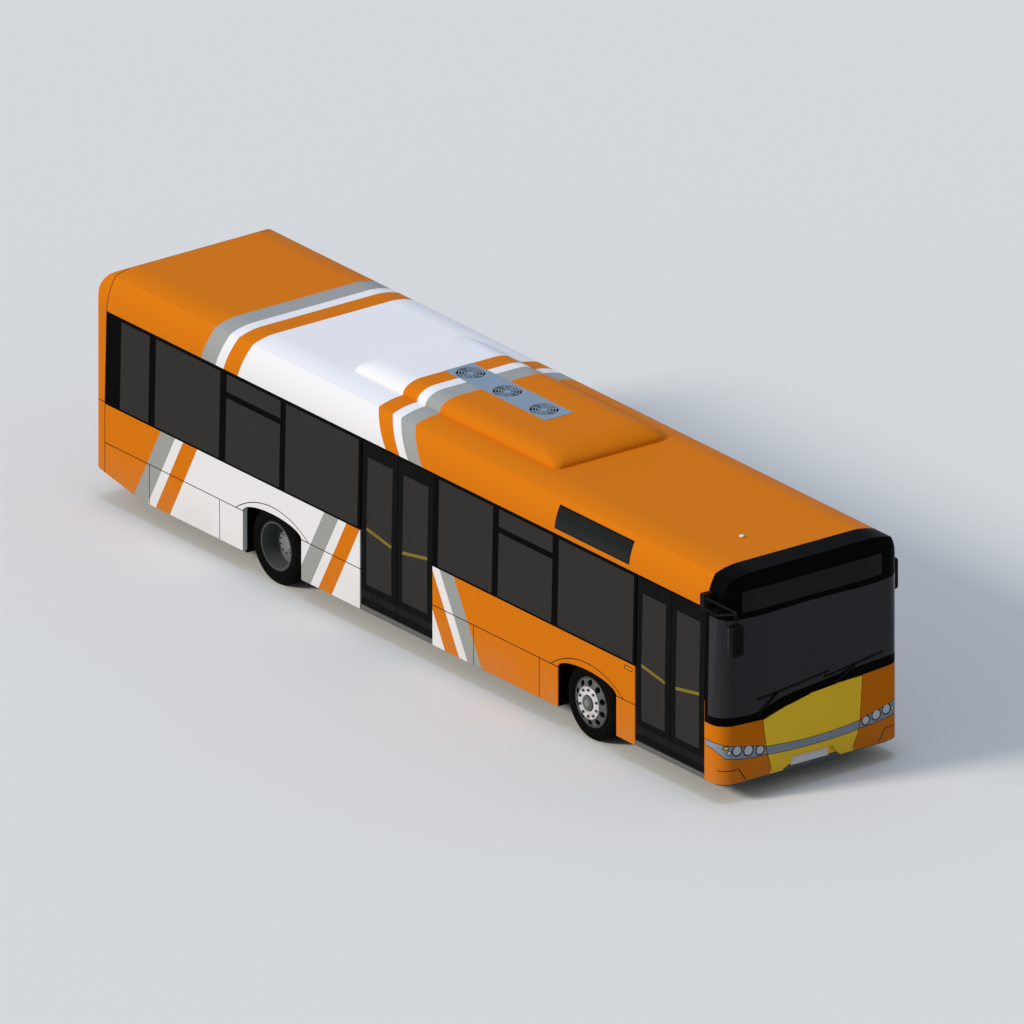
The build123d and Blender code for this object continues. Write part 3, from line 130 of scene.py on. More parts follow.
class Recipe:      # small node builder for one material
    plus, minus, times = mathsNode("ADD"), mathsNode("SUBTRACT"), mathsNode("MULTIPLY")
    most, least = mathsNode("MAXIMUM"), mathsNode("MINIMUM")
    above, below = mathsNode("GREATER_THAN"), mathsNode("LESS_THAN")
    unsigned, sine = mathsNode("ABSOLUTE"), mathsNode("SINE")

    def __init__(self, name):
        self.material = bpy.data.materials.new(name)
        self.material.use_nodes = True
        self.nodes = self.material.node_tree.nodes
        self.links = self.material.node_tree.links
        self.shader = self.nodes["Principled BSDF"]
        self.coords = None

    def place(self):
        if self.coords is None:
            texture = self.nodes.new("ShaderNodeTexCoord")
            split = self.nodes.new("ShaderNodeSeparateXYZ")
            self.links.new(texture.outputs["Object"], split.inputs[0])
            self.coords = (texture.outputs["Object"], split.outputs)
        return self.coords

    def axis(self, index):
        return self.place()[1][index]

    def feed(self, socket, value):      # a number, a colour or another node's output
        if isinstance(value, (int, float)):
            socket.default_value = value
        elif isinstance(value, tuple):
            socket.default_value = (*value, 1)
        elif value is not None:
            self.links.new(value, socket)

    def maths(self, operation, first, second=None):
        node = self.nodes.new("ShaderNodeMath")
        node.operation = operation
        self.feed(node.inputs[0], first)
        self.feed(node.inputs[1], second)
        return node.outputs[0]

    def reach(self, first, second):      # distance from two offsets at right angles
        squares = self.plus(self.times(first, first), self.times(second, second))
        return self.maths("POWER", squares, 0.5)

    def within(self, value, low, high):
        return self.times(self.above(value, low), self.below(value, high))

    def ranged(self, value, fromLow, fromHigh, toLow, toHigh):
        node = self.nodes.new("ShaderNodeMapRange")
        for name, number in (("From Min", fromLow), ("From Max", fromHigh),
                             ("To Min", toLow), ("To Max", toHigh)):
            node.inputs[name].default_value = number
        self.links.new(value, node.inputs["Value"])
        return node.outputs[0]

    def blend(self, factor, first, second):
        node = self.nodes.new("ShaderNodeMix")
        node.data_type = "RGBA"
        for index, value in ((0, factor), (6, first), (7, second)):
            self.feed(node.inputs[index], value)
        return node.outputs[2]

    def bands(self, value, steps):      # hard colour bands, each step is (start, colour)
        ramp = self.nodes.new("ShaderNodeValToRGB")
        ramp.color_ramp.interpolation = "CONSTANT"
        low, span = -0.5, 2
        self.links.new(self.ranged(value, low, low + span, 0, 1), ramp.inputs[0])
        elements = ramp.color_ramp.elements
        elements[0].position = 0
        elements[0].color = (*steps[0][1], 1)
        elements.remove(elements[1])
        for start, colour in steps[1:]:
            elements.new((start - low) / span).color = (*colour, 1)
        return ramp.outputs[0]

    def texture(self, kind, **values):
        node = self.nodes.new(f"ShaderNodeTex{kind}")
        for name, value in values.items():
            node.inputs[name].default_value = value
        self.links.new(self.place()[0], node.inputs["Vector"])
        return node

    def noise(self, scale, detail=4):
        return self.texture("Noise", Scale=scale, Detail=detail).outputs[0]

    def cloud(self, scale, detail, low, high, top):      # noise stretched to 0 ... top
        return self.ranged(self.noise(scale, detail), low, high, 0, top)

    def bump(self, height, strength, distance):
        node = self.nodes.new("ShaderNodeBump")
        node.inputs["Strength"].default_value = strength
        node.inputs["Distance"].default_value = distance
        self.links.new(height, node.inputs["Height"])
        self.links.new(node.outputs[0], self.shader.inputs["Normal"])

    def colour(self, value):
        self.feed(self.shader.inputs["Base Color"], value)

    def rough(self, base, spread=0.0, scale=6):
        if spread:
            uneven = self.ranged(self.noise(scale), 0.3, 0.7, base - spread, base + spread)
            self.links.new(uneven, self.shader.inputs["Roughness"])
        else:
            self.shader.inputs["Roughness"].default_value = base

    def put(self, **values):
        for name, value in values.items():
            self.shader.inputs[name.replace("_", " ")].default_value = value


def shade(colour, factor):
    return tuple(part * factor for part in colour)


livery = {
    "orange": (0.66, 0.175, 0.006),
    "white": (0.80, 0.775, 0.755),
    "grey": (0.335, 0.335, 0.310),
    "black": (0.0025, 0.0025, 0.0022),
    "seam": (0.030, 0.018, 0.010),
    # painted shade: a darker orange drawn along the bumper crease
    "crease": (0.10, 0.030, 0.008),
    "yellow": (0.94, 0.59, 0.035),
    "amber": (0.74, 0.40, 0.02),
    "lens": (0.52, 0.53, 0.58),
    "blueGrey": (0.26, 0.30, 0.35),
    "fanGrey": (0.24, 0.31, 0.37),
    "dust": (0.30, 0.25, 0.20),
}


def paintFinish(recipe, rough=0.30):      # enamel: faint orange peel, slightly uneven gloss
    recipe.rough(rough, 0.05, 9)
    recipe.bump(recipe.noise(7, 1), 0.04, 0.0015)
    recipe.put(Specular_IOR_Level=0.01)


def dusted(recipe, colour, amount=0.16):      # road dust, fades out above the skirts
    low = recipe.ranged(recipe.axis(2), 0.25, 0.75, amount, 0.0)
    patch = recipe.times(low, recipe.ranged(recipe.noise(3.5, 5), 0.35, 0.65, 0.25, 1))
    return recipe.blend(patch, colour, livery["dust"])


seamSetup = {
    "half": 0.0055, "skirt": 0.725, "uprights": [-5.063, -3.748, 1.010, 2.240],
    "archRadius": 1.165, "archTop": 0.944, "rearWaist": 1.218, "sideY": 1.24,
}


def bodySeams(recipe):      # 1 on the panel joints of the sides and of the rear cap
    x, y, z = (recipe.axis(k) for k in range(3))
    half, skirt, cap = seamSetup["half"], seamSetup["skirt"], stations["rearCapSeam"]

    def near(value, spot):
        return recipe.within(value, spot - half, spot + half)

    lines = recipe.times(near(z, skirt), recipe.above(x, cap))
    low, over = recipe.below(z, skirt), recipe.above(z, skirt)
    for upright in seamSetup["uprights"]:
        lines = recipe.most(lines, recipe.times(near(x, upright), low))
    dz = recipe.minus(z, seamSetup["archTop"] - seamSetup["archRadius"])
    for axle in ("rearAxle", "frontAxle"):
        reach = recipe.reach(recipe.minus(x, stations[axle]), dz)
        lines = recipe.most(lines, recipe.times(near(reach, seamSetup["archRadius"]), over))
    lines = recipe.times(lines, recipe.above(recipe.unsigned(y), seamSetup["sideY"]))
    waist = recipe.times(near(z, seamSetup["rearWaist"]), recipe.below(x, cap))
    return recipe.most(recipe.most(lines, near(x, cap)), waist)


stripeSetup = {
    "rearBase": [(0.26, 1.19, -5.356, -4.858), (1.19, 2.316, 0, 0.727), (2.316, 2.706, 0, 0.126)],
    "lowBase": [(0.20, 1.20, -2.335, -1.786)],
    "frontBase": [(0.2, 2.315, 0.498, -0.671), (2.315, 2.706, 0, -0.294)],
    "rear": [(-0.5, "orange"), (0.0, "grey"), (0.268, "white"), (0.42, "orange"), (0.68, "white")],
    "low": [(-0.5, "white"), (0.0, "grey"), (0.26, "white"), (0.408, "orange"), (0.662, "white")],
    "front": [(-0.5, "white"), (0.0, "orange"), (0.265, "white"), (0.415, "grey"),
              (0.685, "orange")],
    "lowEnds": (-0.01, 0.67), "lowTop": 1.2,
    "markerX": (3.835, 3.984), "markerZ": (1.106, 1.154),
}


def stripes(recipe, name):      # offset from the set's leaning base line, and its colours
    base = 0
    for lowZ, highZ, start, end in stripeSetup[f"{name}Base"]:
        base = recipe.plus(base, recipe.ranged(recipe.axis(2), lowZ, highZ, start, end))
    offset = recipe.minus(recipe.axis(0), base)
    steps = [(start, livery[tone]) for start, tone in stripeSetup[name]]
    return offset, recipe.bands(offset, steps)


def makeLivery():
    recipe = Recipe("liveryPaint")
    x, z = recipe.axis(0), recipe.axis(2)
    rear = stripes(recipe, "rear")[1]
    lowOffset, low = stripes(recipe, "low")      # short set, only below the windows
    frontOffset, front = stripes(recipe, "front")
    lowHere = recipe.times(recipe.within(lowOffset, *stripeSetup["lowEnds"]),
                           recipe.below(z, stripeSetup["lowTop"]))
    paint = recipe.blend(lowHere, rear, low)
    paint = recipe.blend(recipe.above(frontOffset, 0), paint, front)
    paint = recipe.blend(bodySeams(recipe), dusted(recipe, paint), livery["seam"])
    marker = recipe.times(recipe.within(x, *stripeSetup["markerX"]),
                          recipe.within(z, *stripeSetup["markerZ"]))
    windowBand = recipe.times(recipe.within(z, stations["beltLine"], stations["bandTop"]),
                              recipe.within(x, stations["rearCapSeam"] + 0.004,
                                            stations["maskSeam"] + 0.01))
    recipe.colour(recipe.blend(recipe.most(marker, windowBand), paint, livery["black"]))
    paintFinish(recipe)
    return recipe.material


def heightCurve(recipe, value, points, low, high):      # height through (across, z) points
    first, last = points[0][0], points[-1][0]
    curve = recipe.nodes.new("ShaderNodeFloatCurve")
    spots = [((a - first) / (last - first), (b - low) / (high - low)) for a, b in points]
    line = curve.mapping.curves[0].points
    line[0].location, line[1].location = spots[0], spots[-1]
    for spot in spots[1:-1]:
        line.new(*spot)
    for point in line:
        point.handle_type = "VECTOR"
    curve.mapping.update()
    recipe.links.new(recipe.ranged(value, first, last, 0, 1), curve.inputs["Value"])
    return recipe.ranged(curve.outputs[0], 0, 1, low, high)


maskSetup = {      # curves as (across, height)
    "trim": [(-1.3, 0.944), (-1.097, 0.942), (-0.712, 0.938), (-0.39, 1.037), (-0.017, 1.118),
             (0.369, 1.145), (0.706, 1.144), (1.3, 1.162)],
    "crease": [(0.90, 0.203), (0.93, 0.250), (1.03, 0.407), (1.24, 0.402), (1.30, 0.430)],
    "creaseEnds": (0.935, 1.255), "steepEnd": 1.03, "creaseHalf": 0.006, "steepMore": 0.008,
    "underFlapHalf": 0.585, "underFlapTop": 0.33,
}


def trimHeight(recipe):      # lower edge of the black trim
    return heightCurve(recipe, recipe.axis(1), maskSetup["trim"], 0.9, 1.2)


def makeMaskPaint():
    recipe = Recipe("maskPaint")
    across, z = recipe.unsigned(recipe.axis(1)), recipe.axis(2)
    black = recipe.above(z, trimHeight(recipe))
    crease = recipe.minus(z, heightCurve(recipe, across, maskSetup["crease"], 0.2, 0.45))
    steep = recipe.below(across, maskSetup["steepEnd"])
    width = recipe.plus(recipe.times(steep, maskSetup["steepMore"]), maskSetup["creaseHalf"])
    # a line of painted shade along the bumper crease, wider on its steep part
    creased = recipe.times(recipe.below(recipe.unsigned(crease), width),
                           recipe.within(across, *maskSetup["creaseEnds"]))
    underFlap = recipe.times(recipe.below(across, maskSetup["underFlapHalf"]),
                             recipe.below(z, maskSetup["underFlapTop"]))
    paint = recipe.blend(underFlap, livery["orange"], livery["yellow"])
    paint = dusted(recipe, recipe.blend(creased, paint, livery["crease"]), 0.10)
    recipe.colour(recipe.blend(black, paint, livery["black"]))
    paintFinish(recipe)
    return recipe.material


flapBand = {"topMiddle": 0.571, "lowMiddle": 0.478, "topRise": 0.074, "lowRise": 0.053,
            "line": 0.005, "tab": 0.010}


def makeFlapPaint():
    recipe = Recipe("flapPaint")
    y, z = recipe.axis(1), recipe.axis(2)
    square = recipe.times(y, y)
    top = recipe.plus(recipe.times(square, flapBand["topRise"]), flapBand["topMiddle"])
    low = recipe.plus(recipe.times(square, flapBand["lowRise"]), flapBand["lowMiddle"])
    inside = recipe.least(recipe.minus(top, z), recipe.minus(z, low))
    edge = recipe.within(inside, -flapBand["line"], flapBand["line"] * 0.4)
    paint = recipe.blend(recipe.above(inside, 0), livery["yellow"], livery["blueGrey"])
    paint = recipe.blend(edge, dusted(recipe, paint, 0.08), livery["black"])
    tab = recipe.above(z, recipe.minus(trimHeight(recipe), flapBand["tab"]))
    recipe.colour(recipe.blend(tab, paint, livery["black"]))
    paintFinish(recipe)
    return recipe.material


def makeFlatPaint(name, colour, rough=0.3):
    recipe = Recipe(name)
    recipe.colour(recipe.blend(recipe.cloud(5, 6, 0.4, 0.75, 0.12), colour, shade(colour, 0.7)))
    paintFinish(recipe, rough)
    return recipe.material


grabBar = {"low": 1.150, "rise": 0.165, "half": 0.019, "seen": (0.215, 0.160, 0.012),
           "radius": 0.015, "footRadius": 0.009, "inset": 0.015, "foot": 0.030,
           "lift": 0.002, "footInset": 0.03}
for door in ("middle", "front"):
    grabBar[f"{door}Door"] = (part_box(f"door_glass_{door}_rear")[1][0]
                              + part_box(f"door_glass_{door}_front")[0][0]) / 2


def barLine(recipe):      # 1 where a grab bar shows through the door glass
    away = [recipe.unsigned(recipe.minus(recipe.axis(0), grabBar[f"{door}Door"]))
            for door in ("middle", "front")]
    line = recipe.plus(recipe.times(recipe.least(*away), grabBar["rise"]), grabBar["low"])
    return recipe.below(recipe.unsigned(recipe.minus(recipe.axis(2), line)), grabBar["half"])


def makeGlass(name, tint, alpha, barred=False):
    recipe = Recipe(name)
    pane = recipe.blend(recipe.cloud(1.4, 3, 0.35, 0.7, 0.2), tint, shade(tint, 1.3))
    if barred:
        pane = recipe.blend(barLine(recipe), pane, grabBar["seen"])
    recipe.colour(pane)
    recipe.rough(0.08, 0.02, 3)
    recipe.put(Alpha=alpha, Specular_IOR_Level=0.10)
    return recipe.material


def wheelReach(recipe, axleX):      # distance from a wheel's axis, with its two offsets
    dx = recipe.minus(recipe.axis(0), axleX)
    dz = recipe.minus(recipe.axis(2), stations["tyreRadius"])
    return dx, dz, recipe.reach(dx, dz)


rearLip = {"from": 0.281, "gloss": 0.15}


def makeMetal(name, colour, rough, metallic, grain=90, lipped=False):
    recipe = Recipe(name)
    steel = recipe.blend(recipe.cloud(12, 6, 0.42, 0.75, 0.3), colour, shade(colour, 0.62))
    if lipped:      # the bead of the tyre hides the rear rim's lip, so it is black
        lip = recipe.above(wheelReach(recipe, stations["rearAxle"])[2], rearLip["from"])
        steel = recipe.blend(lip, steel, livery["black"])
        recipe.put(Specular_IOR_Level=rearLip["gloss"])
    recipe.colour(steel)
    recipe.rough(rough, 0.07, 18)
    recipe.bump(recipe.noise(grain, 4), 0.08, 0.0008)
    recipe.put(Metallic=metallic)
    return recipe.material


treadSetup = {"sipes": 70, "slant": 60, "sipeWidth": 0.86, "from": 0.446, "ribs": 190,
              "ribRing": (0.395, 0.418), "rubber": (0.0016, 0.0014, 0.0013),
              "dust": (0.006, 0.0055, 0.005), "shadedSipe": (0.0005, 0.0005, 0.0005)}


def makeTreadRubber(name, axleX):      # sipes with painted shade on the tread, fine ribs on the wall
    recipe = Recipe(name)
    dx, dz, radius = wheelReach(recipe, axleX)
    angle = recipe.maths("ARCTAN2", dz, dx)
    zigzag = recipe.plus(recipe.times(angle, treadSetup["sipes"]),
                         recipe.times(recipe.axis(1), treadSetup["slant"]))
    shadedSipe = recipe.times(recipe.above(recipe.sine(zigzag), treadSetup["sipeWidth"]),
                        recipe.above(radius, treadSetup["from"]))
    ribs = recipe.times(recipe.sine(recipe.times(angle, treadSetup["ribs"])),
                        recipe.within(radius, *treadSetup["ribRing"]))
    dust = recipe.times(recipe.cloud(12, 6, 0.42, 0.75, 0.5),
                        recipe.ranged(radius, 0.3, 0.46, 0.35, 1))
    colour = recipe.blend(dust, treadSetup["rubber"], treadSetup["dust"])
    # the sipes get painted shade, a darker rubber tone
    recipe.colour(recipe.blend(shadedSipe, colour, treadSetup["shadedSipe"]))
    recipe.rough(0.70, 0.08, 16)
    recipe.bump(recipe.minus(recipe.times(ribs, 0.25), shadedSipe), 0.6, 0.004)
    recipe.put(Specular_IOR_Level=0.04)
    return recipe.material


def makePlastic(name, colour, rough):
    recipe = Recipe(name)
    recipe.colour(recipe.blend(recipe.cloud(7, 4, 0.35, 0.7, 0.22), colour, shade(colour, 0.75)))
    recipe.rough(rough, 0.06, 15)
    recipe.bump(recipe.noise(300, 2), 0.12, 0.0006)
    recipe.put(Specular_IOR_Level=0.06)
    return recipe.material


def makeFloorVinyl():
    recipe = Recipe("floorVinyl")
    speck = recipe.above(recipe.noise(130, 2), 0.62)
    recipe.colour(recipe.blend(speck, (0.060, 0.065, 0.075), (0.17, 0.18, 0.20)))
    recipe.rough(0.55, 0.08, 12)
    recipe.bump(recipe.noise(60, 2), 0.1, 0.001)
    return recipe.material


def makeCloth(name, colour, second):
    recipe = Recipe(name)
    wave = recipe.texture("Wave", Scale=60, Distortion=1.5)
    wave.bands_direction = "DIAGONAL"
    weave = recipe.texture("Voronoi", Scale=320)
    fleck = recipe.above(recipe.noise(38, 3), 0.60)
    base = recipe.blend(recipe.ranged(wave.outputs[1], 0.2, 0.8, 0, 0.5), colour, second)
    recipe.colour(recipe.blend(fleck, base, shade(second, 2.2)))
    recipe.rough(0.85)
    recipe.bump(weave.outputs[0], 0.35, 0.0015)
    recipe.put(Sheen_Weight=0.3, Sheen_Roughness=0.5, Specular_IOR_Level=0.2)
    return recipe.material


lampSpots = [(1.052, 0.634, 0.060), (0.901, 0.606, 0.0625), (0.745, 0.578, 0.055),
             (1.184, 0.681, 0.025), (1.151, 0.621, 0.025)]      # across, height, radius
bezelSetup = {      # edges of the lamp panel, the tip's edge runs over x
    "top": [(0.60, 0.604), (0.676, 0.604), (0.723, 0.632), (0.945, 0.666), (1.206, 0.722),
            (1.30, 0.750)],
    "low": [(0.60, 0.500), (0.841, 0.503), (1.051, 0.525), (1.190, 0.547), (1.250, 0.618),
            (1.30, 0.700)],
    "tip": [(5.30, 0.800), (5.337, 0.733), (5.380, 0.656), (5.437, 0.598), (5.488, 0.559),
            (5.55, 0.546), (5.70, 0.400)],
    "line": 0.008, "tipLine": 0.004, "ring": 0.0085, "largeLamp": 0.03, "amberFrom": 0.65,
    "amberCorner": (1.155, 0.655),
}


def lampReach(recipe, spotY, spotZ):
    across = recipe.unsigned(recipe.axis(1))
    return recipe.reach(recipe.minus(across, spotY), recipe.minus(recipe.axis(2), spotZ))


def lampRings(recipe):      # 1 on the dark ring round each lamp
    rings = 0
    for spotY, spotZ, radius in lampSpots:
        thin = bezelSetup["ring"] * (1 if radius > bezelSetup["largeLamp"] else 0.6)
        ring = recipe.within(lampReach(recipe, spotY, spotZ), radius - thin, radius + thin)
        rings = recipe.most(rings, ring)
    return rings


def makeLampGlass():      # clear fluted lenses, the outer upper one is amber
    recipe = Recipe("lampGlass")
    amberY, amberZ = bezelSetup["amberCorner"]
    amber = recipe.times(recipe.above(recipe.unsigned(recipe.axis(1)), amberY),
                         recipe.above(recipe.axis(2), amberZ))
    flutes = recipe.texture("Wave", Scale=34)
    flutes.bands_direction = "Y"
    clear = recipe.blend(recipe.ranged(flutes.outputs[1], 0, 1, 0, 0.5), livery["lens"],
                         (0.40, 0.41, 0.46))
    lens = recipe.blend(amber, clear, livery["amber"])
    recipe.colour(recipe.blend(lampRings(recipe), lens, livery["black"]))
    recipe.rough(0.12, 0.03, 20)
    recipe.bump(flutes.outputs[1], 0.15, 0.001)
    recipe.put(Coat_Weight=0.3, Coat_Roughness=0.05)
    return recipe.material


def makeBezelPaint():      # grey panel in a dark line, body colour below the corner tip
    recipe = Recipe("bezelPaint")
    x, across, z = recipe.axis(0), recipe.unsigned(recipe.axis(1)), recipe.axis(2)
    toTop = recipe.minus(heightCurve(recipe, across, bezelSetup["top"], 0.45, 0.80), z)
    toLow = recipe.minus(z, heightCurve(recipe, across, bezelSetup["low"], 0.45, 0.80))
    toTip = recipe.minus(z, heightCurve(recipe, x, bezelSetup["tip"], 0.35, 0.85))
    line, tipLine = bezelSetup["line"], bezelSetup["tipLine"]
    edge = recipe.most(recipe.below(recipe.least(toTop, toLow), line),
                       recipe.within(toTip, -tipLine, line))
    panel = recipe.blend(recipe.below(toTip, 0), livery["blueGrey"], livery["orange"])
    for spotY, spotZ, radius in lampSpots[3:]:
        tone = livery["amber"] if spotZ > bezelSetup["amberFrom"] else livery["lens"]
        panel = recipe.blend(recipe.below(lampReach(recipe, spotY, spotZ), radius), panel, tone)
    dark = recipe.most(recipe.times(edge, recipe.above(toTip, -tipLine)), lampRings(recipe))
    recipe.colour(recipe.blend(dark, panel, livery["black"]))
    paintFinish(recipe)
    return recipe.material


tailSetup = {"amber": (0.87, 0.995), "clearTop": 0.745, "redTone": (0.42, 0.012, 0.010),
             "amberTone": (0.75, 0.27, 0.02), "clearTone": (0.62, 0.62, 0.62)}


def makeTailGlass():
    recipe = Recipe("tailGlass")
    z = recipe.axis(2)
    tone = recipe.blend(recipe.within(z, *tailSetup["amber"]), tailSetup["redTone"],
                        tailSetup["amberTone"])
    clear = recipe.below(z, tailSetup["clearTop"])
    recipe.colour(recipe.blend(clear, tone, tailSetup["clearTone"]))
    recipe.rough(0.15, 0.03, 20)
    recipe.bump(recipe.texture("Voronoi", Scale=90).outputs[0], 0.2, 0.001)
    recipe.put(Coat_Weight=0.5, Coat_Roughness=0.06)
    return recipe.material


ventSetup = {"heights": (0.396, 0.484), "outside": -1.2, "pitch": 420, "gap": -0.3,
             "slat": (0.014, 0.0145, 0.015), "grime": (0.007, 0.0065, 0.006)}


def makeDoorPaint():      # satin black leaf, the slats of its lower vent a little lighter
    recipe = Recipe("doorPaint")
    y, z = recipe.axis(1), recipe.axis(2)
    vent = recipe.times(recipe.within(z, *ventSetup["heights"]),
                        recipe.below(y, ventSetup["outside"]))
    wave = recipe.sine(recipe.times(z, ventSetup["pitch"]))
    slats = recipe.times(vent, recipe.above(wave, ventSetup["gap"]))
    paint = recipe.blend(recipe.cloud(6, 5, 0.45, 0.75, 0.2), livery["black"], ventSetup["grime"])
    recipe.colour(recipe.blend(slats, paint, ventSetup["slat"]))
    recipe.rough(0.35, 0.05, 12)
    recipe.bump(recipe.noise(150, 2), 0.05, 0.0006)
    recipe.put(Specular_IOR_Level=0.03)
    return recipe.material


sideScreen = {"x": (2.505, 3.865), "z": (2.392, 2.618), "tone": (0.0085, 0.010, 0.008)}


def makeDisplayPanel():      # dark screen in a black frame
    recipe = Recipe("displayPanel")
    inside = recipe.times(recipe.within(recipe.axis(0), *sideScreen["x"]),
                          recipe.within(recipe.axis(2), *sideScreen["z"]))
    recipe.colour(recipe.blend(inside, livery["black"], sideScreen["tone"]))
    recipe.rough(0.25, 0.03, 4)
    recipe.put(Specular_IOR_Level=0.15)
    return recipe.material


def makeFloorStage():      # pale to the eye, but it throws less light back on the bus
    recipe = Recipe("studioFloor")
    path = recipe.nodes.new("ShaderNodeLightPath")
    seen = recipe.most(path.outputs["Is Camera Ray"], path.outputs["Is Glossy Ray"])
    seen = recipe.most(seen, path.outputs["Is Transmission Ray"])
    pale = recipe.blend(recipe.cloud(0.2, 2, 0.3, 0.7, 0.03), lightSetup["floorColour"],
                        lightSetup["floorDusty"])
    recipe.colour(recipe.blend(seen, lightSetup["floorBounce"], pale))
    recipe.rough(0.9)
    recipe.put(Specular_IOR_Level=0.1)
    return recipe.material


leaves = [f"{door}_{leaf}" for door in ("middle", "front") for leaf in ("rear", "front")]
finishes = {      # a material, and the frame's nodes that wear it
    "livery": (makeLivery(), ["wall_right", "wall_left", "roof_shell", "rear_wall",
                              "engine_hatch", "aircon_pod"]),
    "mask": (makeMaskPaint(), ["front_mask"]),
    "flap": (makeFlapPaint(), ["front_flap"]),
    "sideGlass": (makeGlass("sideGlass", (0.0225, 0.0205, 0.0170), 0.95),
                  ["side_glass_right", "side_glass_left", "rear_glass"]),
    "doorGlass": (makeGlass("doorGlass", (0.0225, 0.0205, 0.0180), 0.95, barred=True),
                  [f"door_glass_{leaf}" for leaf in leaves]),
    "frontGlass": (makeGlass("frontGlass", (0.029, 0.0275, 0.030), 0.93), ["windscreen"]),
    "displayGlass": (makeGlass("displayGlass", (0.005, 0.006, 0.0055), 0.98), ["display_glass"]),
    "frontTread": (makeTreadRubber("treadRubberFront", stations["frontAxle"]),
                   ["tyre_front_left", "tyre_front_right"]),
    "rearTread": (makeTreadRubber("treadRubberRear", stations["rearAxle"]),
                  ["tyres_rear_left", "tyres_rear_right"]),
    "wheelSteel": (makeMetal("wheelSteel", (0.088, 0.093, 0.080), 0.5, 0.15), []),
    "rearRim": (makeMetal("rearRim", (0.105, 0.11, 0.100), 0.5, 0, lipped=True),
                ["rims_rear_left", "rims_rear_right"]),
    "hubSteel": (makeMetal("hubSteel", (0.23, 0.23, 0.225), 0.45, 0.3), []),
    "nutSteel": (makeMetal("nutSteel", (0.05, 0.05, 0.055), 0.4, 0.6), []),
    "chrome": (makeMetal("chromeSteel", (0.70, 0.66, 0.665), 0.36, 0.25, 40), []),
    "mirrorGlass": (makeMetal("mirrorGlass", (0.70, 0.72, 0.74), 0.04, 1.0, 10), []),
    "chassis": (makeMetal("chassisSteel", (0.035, 0.036, 0.038), 0.55, 0.4),
                ["front_axle", "rear_axle", "knuckle_left", "knuckle_right", "door_headers",
                 "rim_front_left", "rim_front_right", *[f"door_arm_{leaf}" for leaf in leaves]]),
    "engine": (makeMetal("engineCasting", (0.10, 0.105, 0.11), 0.6, 0.6, 60), ["engine_block"]),
    "sill": (makeMetal("sillAluminium", (0.125, 0.122, 0.112), 0.45, 0.3, 120), ["door_sills"]),
    "rail": (makeFlatPaint("railPaint", (0.62, 0.44, 0.03), 0.35), ["handrails"]),
    "mirror": (makePlastic("mirrorPlastic", (0.0035, 0.0034, 0.003), 0.42),
               ["mirrors", "wipers"]),
    "cabTrim": (makePlastic("cabPlastic", (0.040, 0.041, 0.045), 0.6),
                ["driver_cab", "steering_wheel"]),
    "housing": (makePlastic("housingPlastic", (0.0035, 0.0035, 0.0035), 0.8),
                ["wheel_housings"]),
    "bezel": (makeBezelPaint(), ["lamp_panels"]),
    "fanPanel": (makeFlatPaint("fanPanelPaint", livery["fanGrey"], 0.4),
                 ["fan_panel", "fan_guards"]),
    "guard": (makePlastic("guardPlastic", (0.004, 0.004, 0.005), 0.45), []),
    "plate": (makeFlatPaint("platePaint", (0.74, 0.74, 0.76), 0.35), ["number_plate"]),
    "amber": (makeFlatPaint("amberLens", (0.70, 0.30, 0.02), 0.18), ["side_markers"]),
    "displayPanel": (makeDisplayPanel(), ["side_display"]),
    "vinyl": (makeFloorVinyl(), ["floor"]),
    "seatCloth": (makeCloth("seatCloth", (0.020, 0.035, 0.10), (0.035, 0.060, 0.15)), ["seats"]),
    "driverCloth": (makeCloth("driverCloth", (0.020, 0.021, 0.024), (0.045, 0.046, 0.050)),
                    ["driver_seat"]),
    "lamp": (makeLampGlass(), ["headlamps"]),
    "tail": (makeTailGlass(), ["tail_lamps"]),
    "door": (makeDoorPaint(), [f"door_{leaf}" for leaf in leaves]),
}


def dress(piece, finish):
    piece.data.materials.clear()
    piece.data.materials.append(finishes[finish][0])


for material, names in finishes.values():
    for name in names:
        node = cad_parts[name]
        if not node.material_slots:
            node.data.materials.append(material)
        for slot in node.material_slots:
            slot.material = material
print("frame painted")


def pickOnly(piece):
    bpy.ops.object.select_all(action="DESELECT")
    piece.select_set(True)
    bpy.context.view_layer.objects.active = piece


def startPiece(name, adder, **settings):
    bpy.ops.object.select_all(action="DESELECT")
    adder(**settings)
    piece = bpy.context.object
    piece.name = name
    piece.data.name = name
    return piece


def startCylinder(name, vertices, radius, depth, spot, rotation=(0, 0, 0)):
    return startPiece(name, bpy.ops.mesh.primitive_cylinder_add, vertices=vertices,
                      radius=radius, depth=depth, location=spot, rotation=rotation)


acrossBus = (pi / 2, 0, 0)


def settle(piece, smooth=35):
    pickOnly(piece)
    bpy.ops.object.transform_apply(location=True, rotation=True, scale=True)
    if smooth:
        bpy.ops.object.shade_smooth_by_angle(angle=radians(smooth))
    return piece


def openEdit():
    bpy.ops.object.mode_set(mode="EDIT")
    bpy.ops.mesh.select_all(action="SELECT")


def closeEdit():
    bpy.ops.object.mode_set(mode="OBJECT")


def bevelEdges(offset, segments):
    openEdit()
    bpy.ops.mesh.bevel(offset=offset, segments=segments, affect="EDGES")
    closeEdit()


def applyModifier(piece, modifier):
    pickOnly(piece)
    bpy.ops.object.modifier_apply(modifier=modifier.name)


def cutAway(piece, cutter):
    modifier = piece.modifiers.new("cut", "BOOLEAN")
    modifier.operation = "DIFFERENCE"
    modifier.object = cutter
    modifier.solver = "EXACT"
    applyModifier(piece, modifier)
    bpy.data.objects.remove(cutter)


def copyPiece(piece, name, move):
    twin = piece.copy()
    twin.data = piece.data.copy()
    twin.name = name
    twin.data.name = name
    bpy.context.collection.objects.link(twin)
    twin.data.transform(move)
    return twin


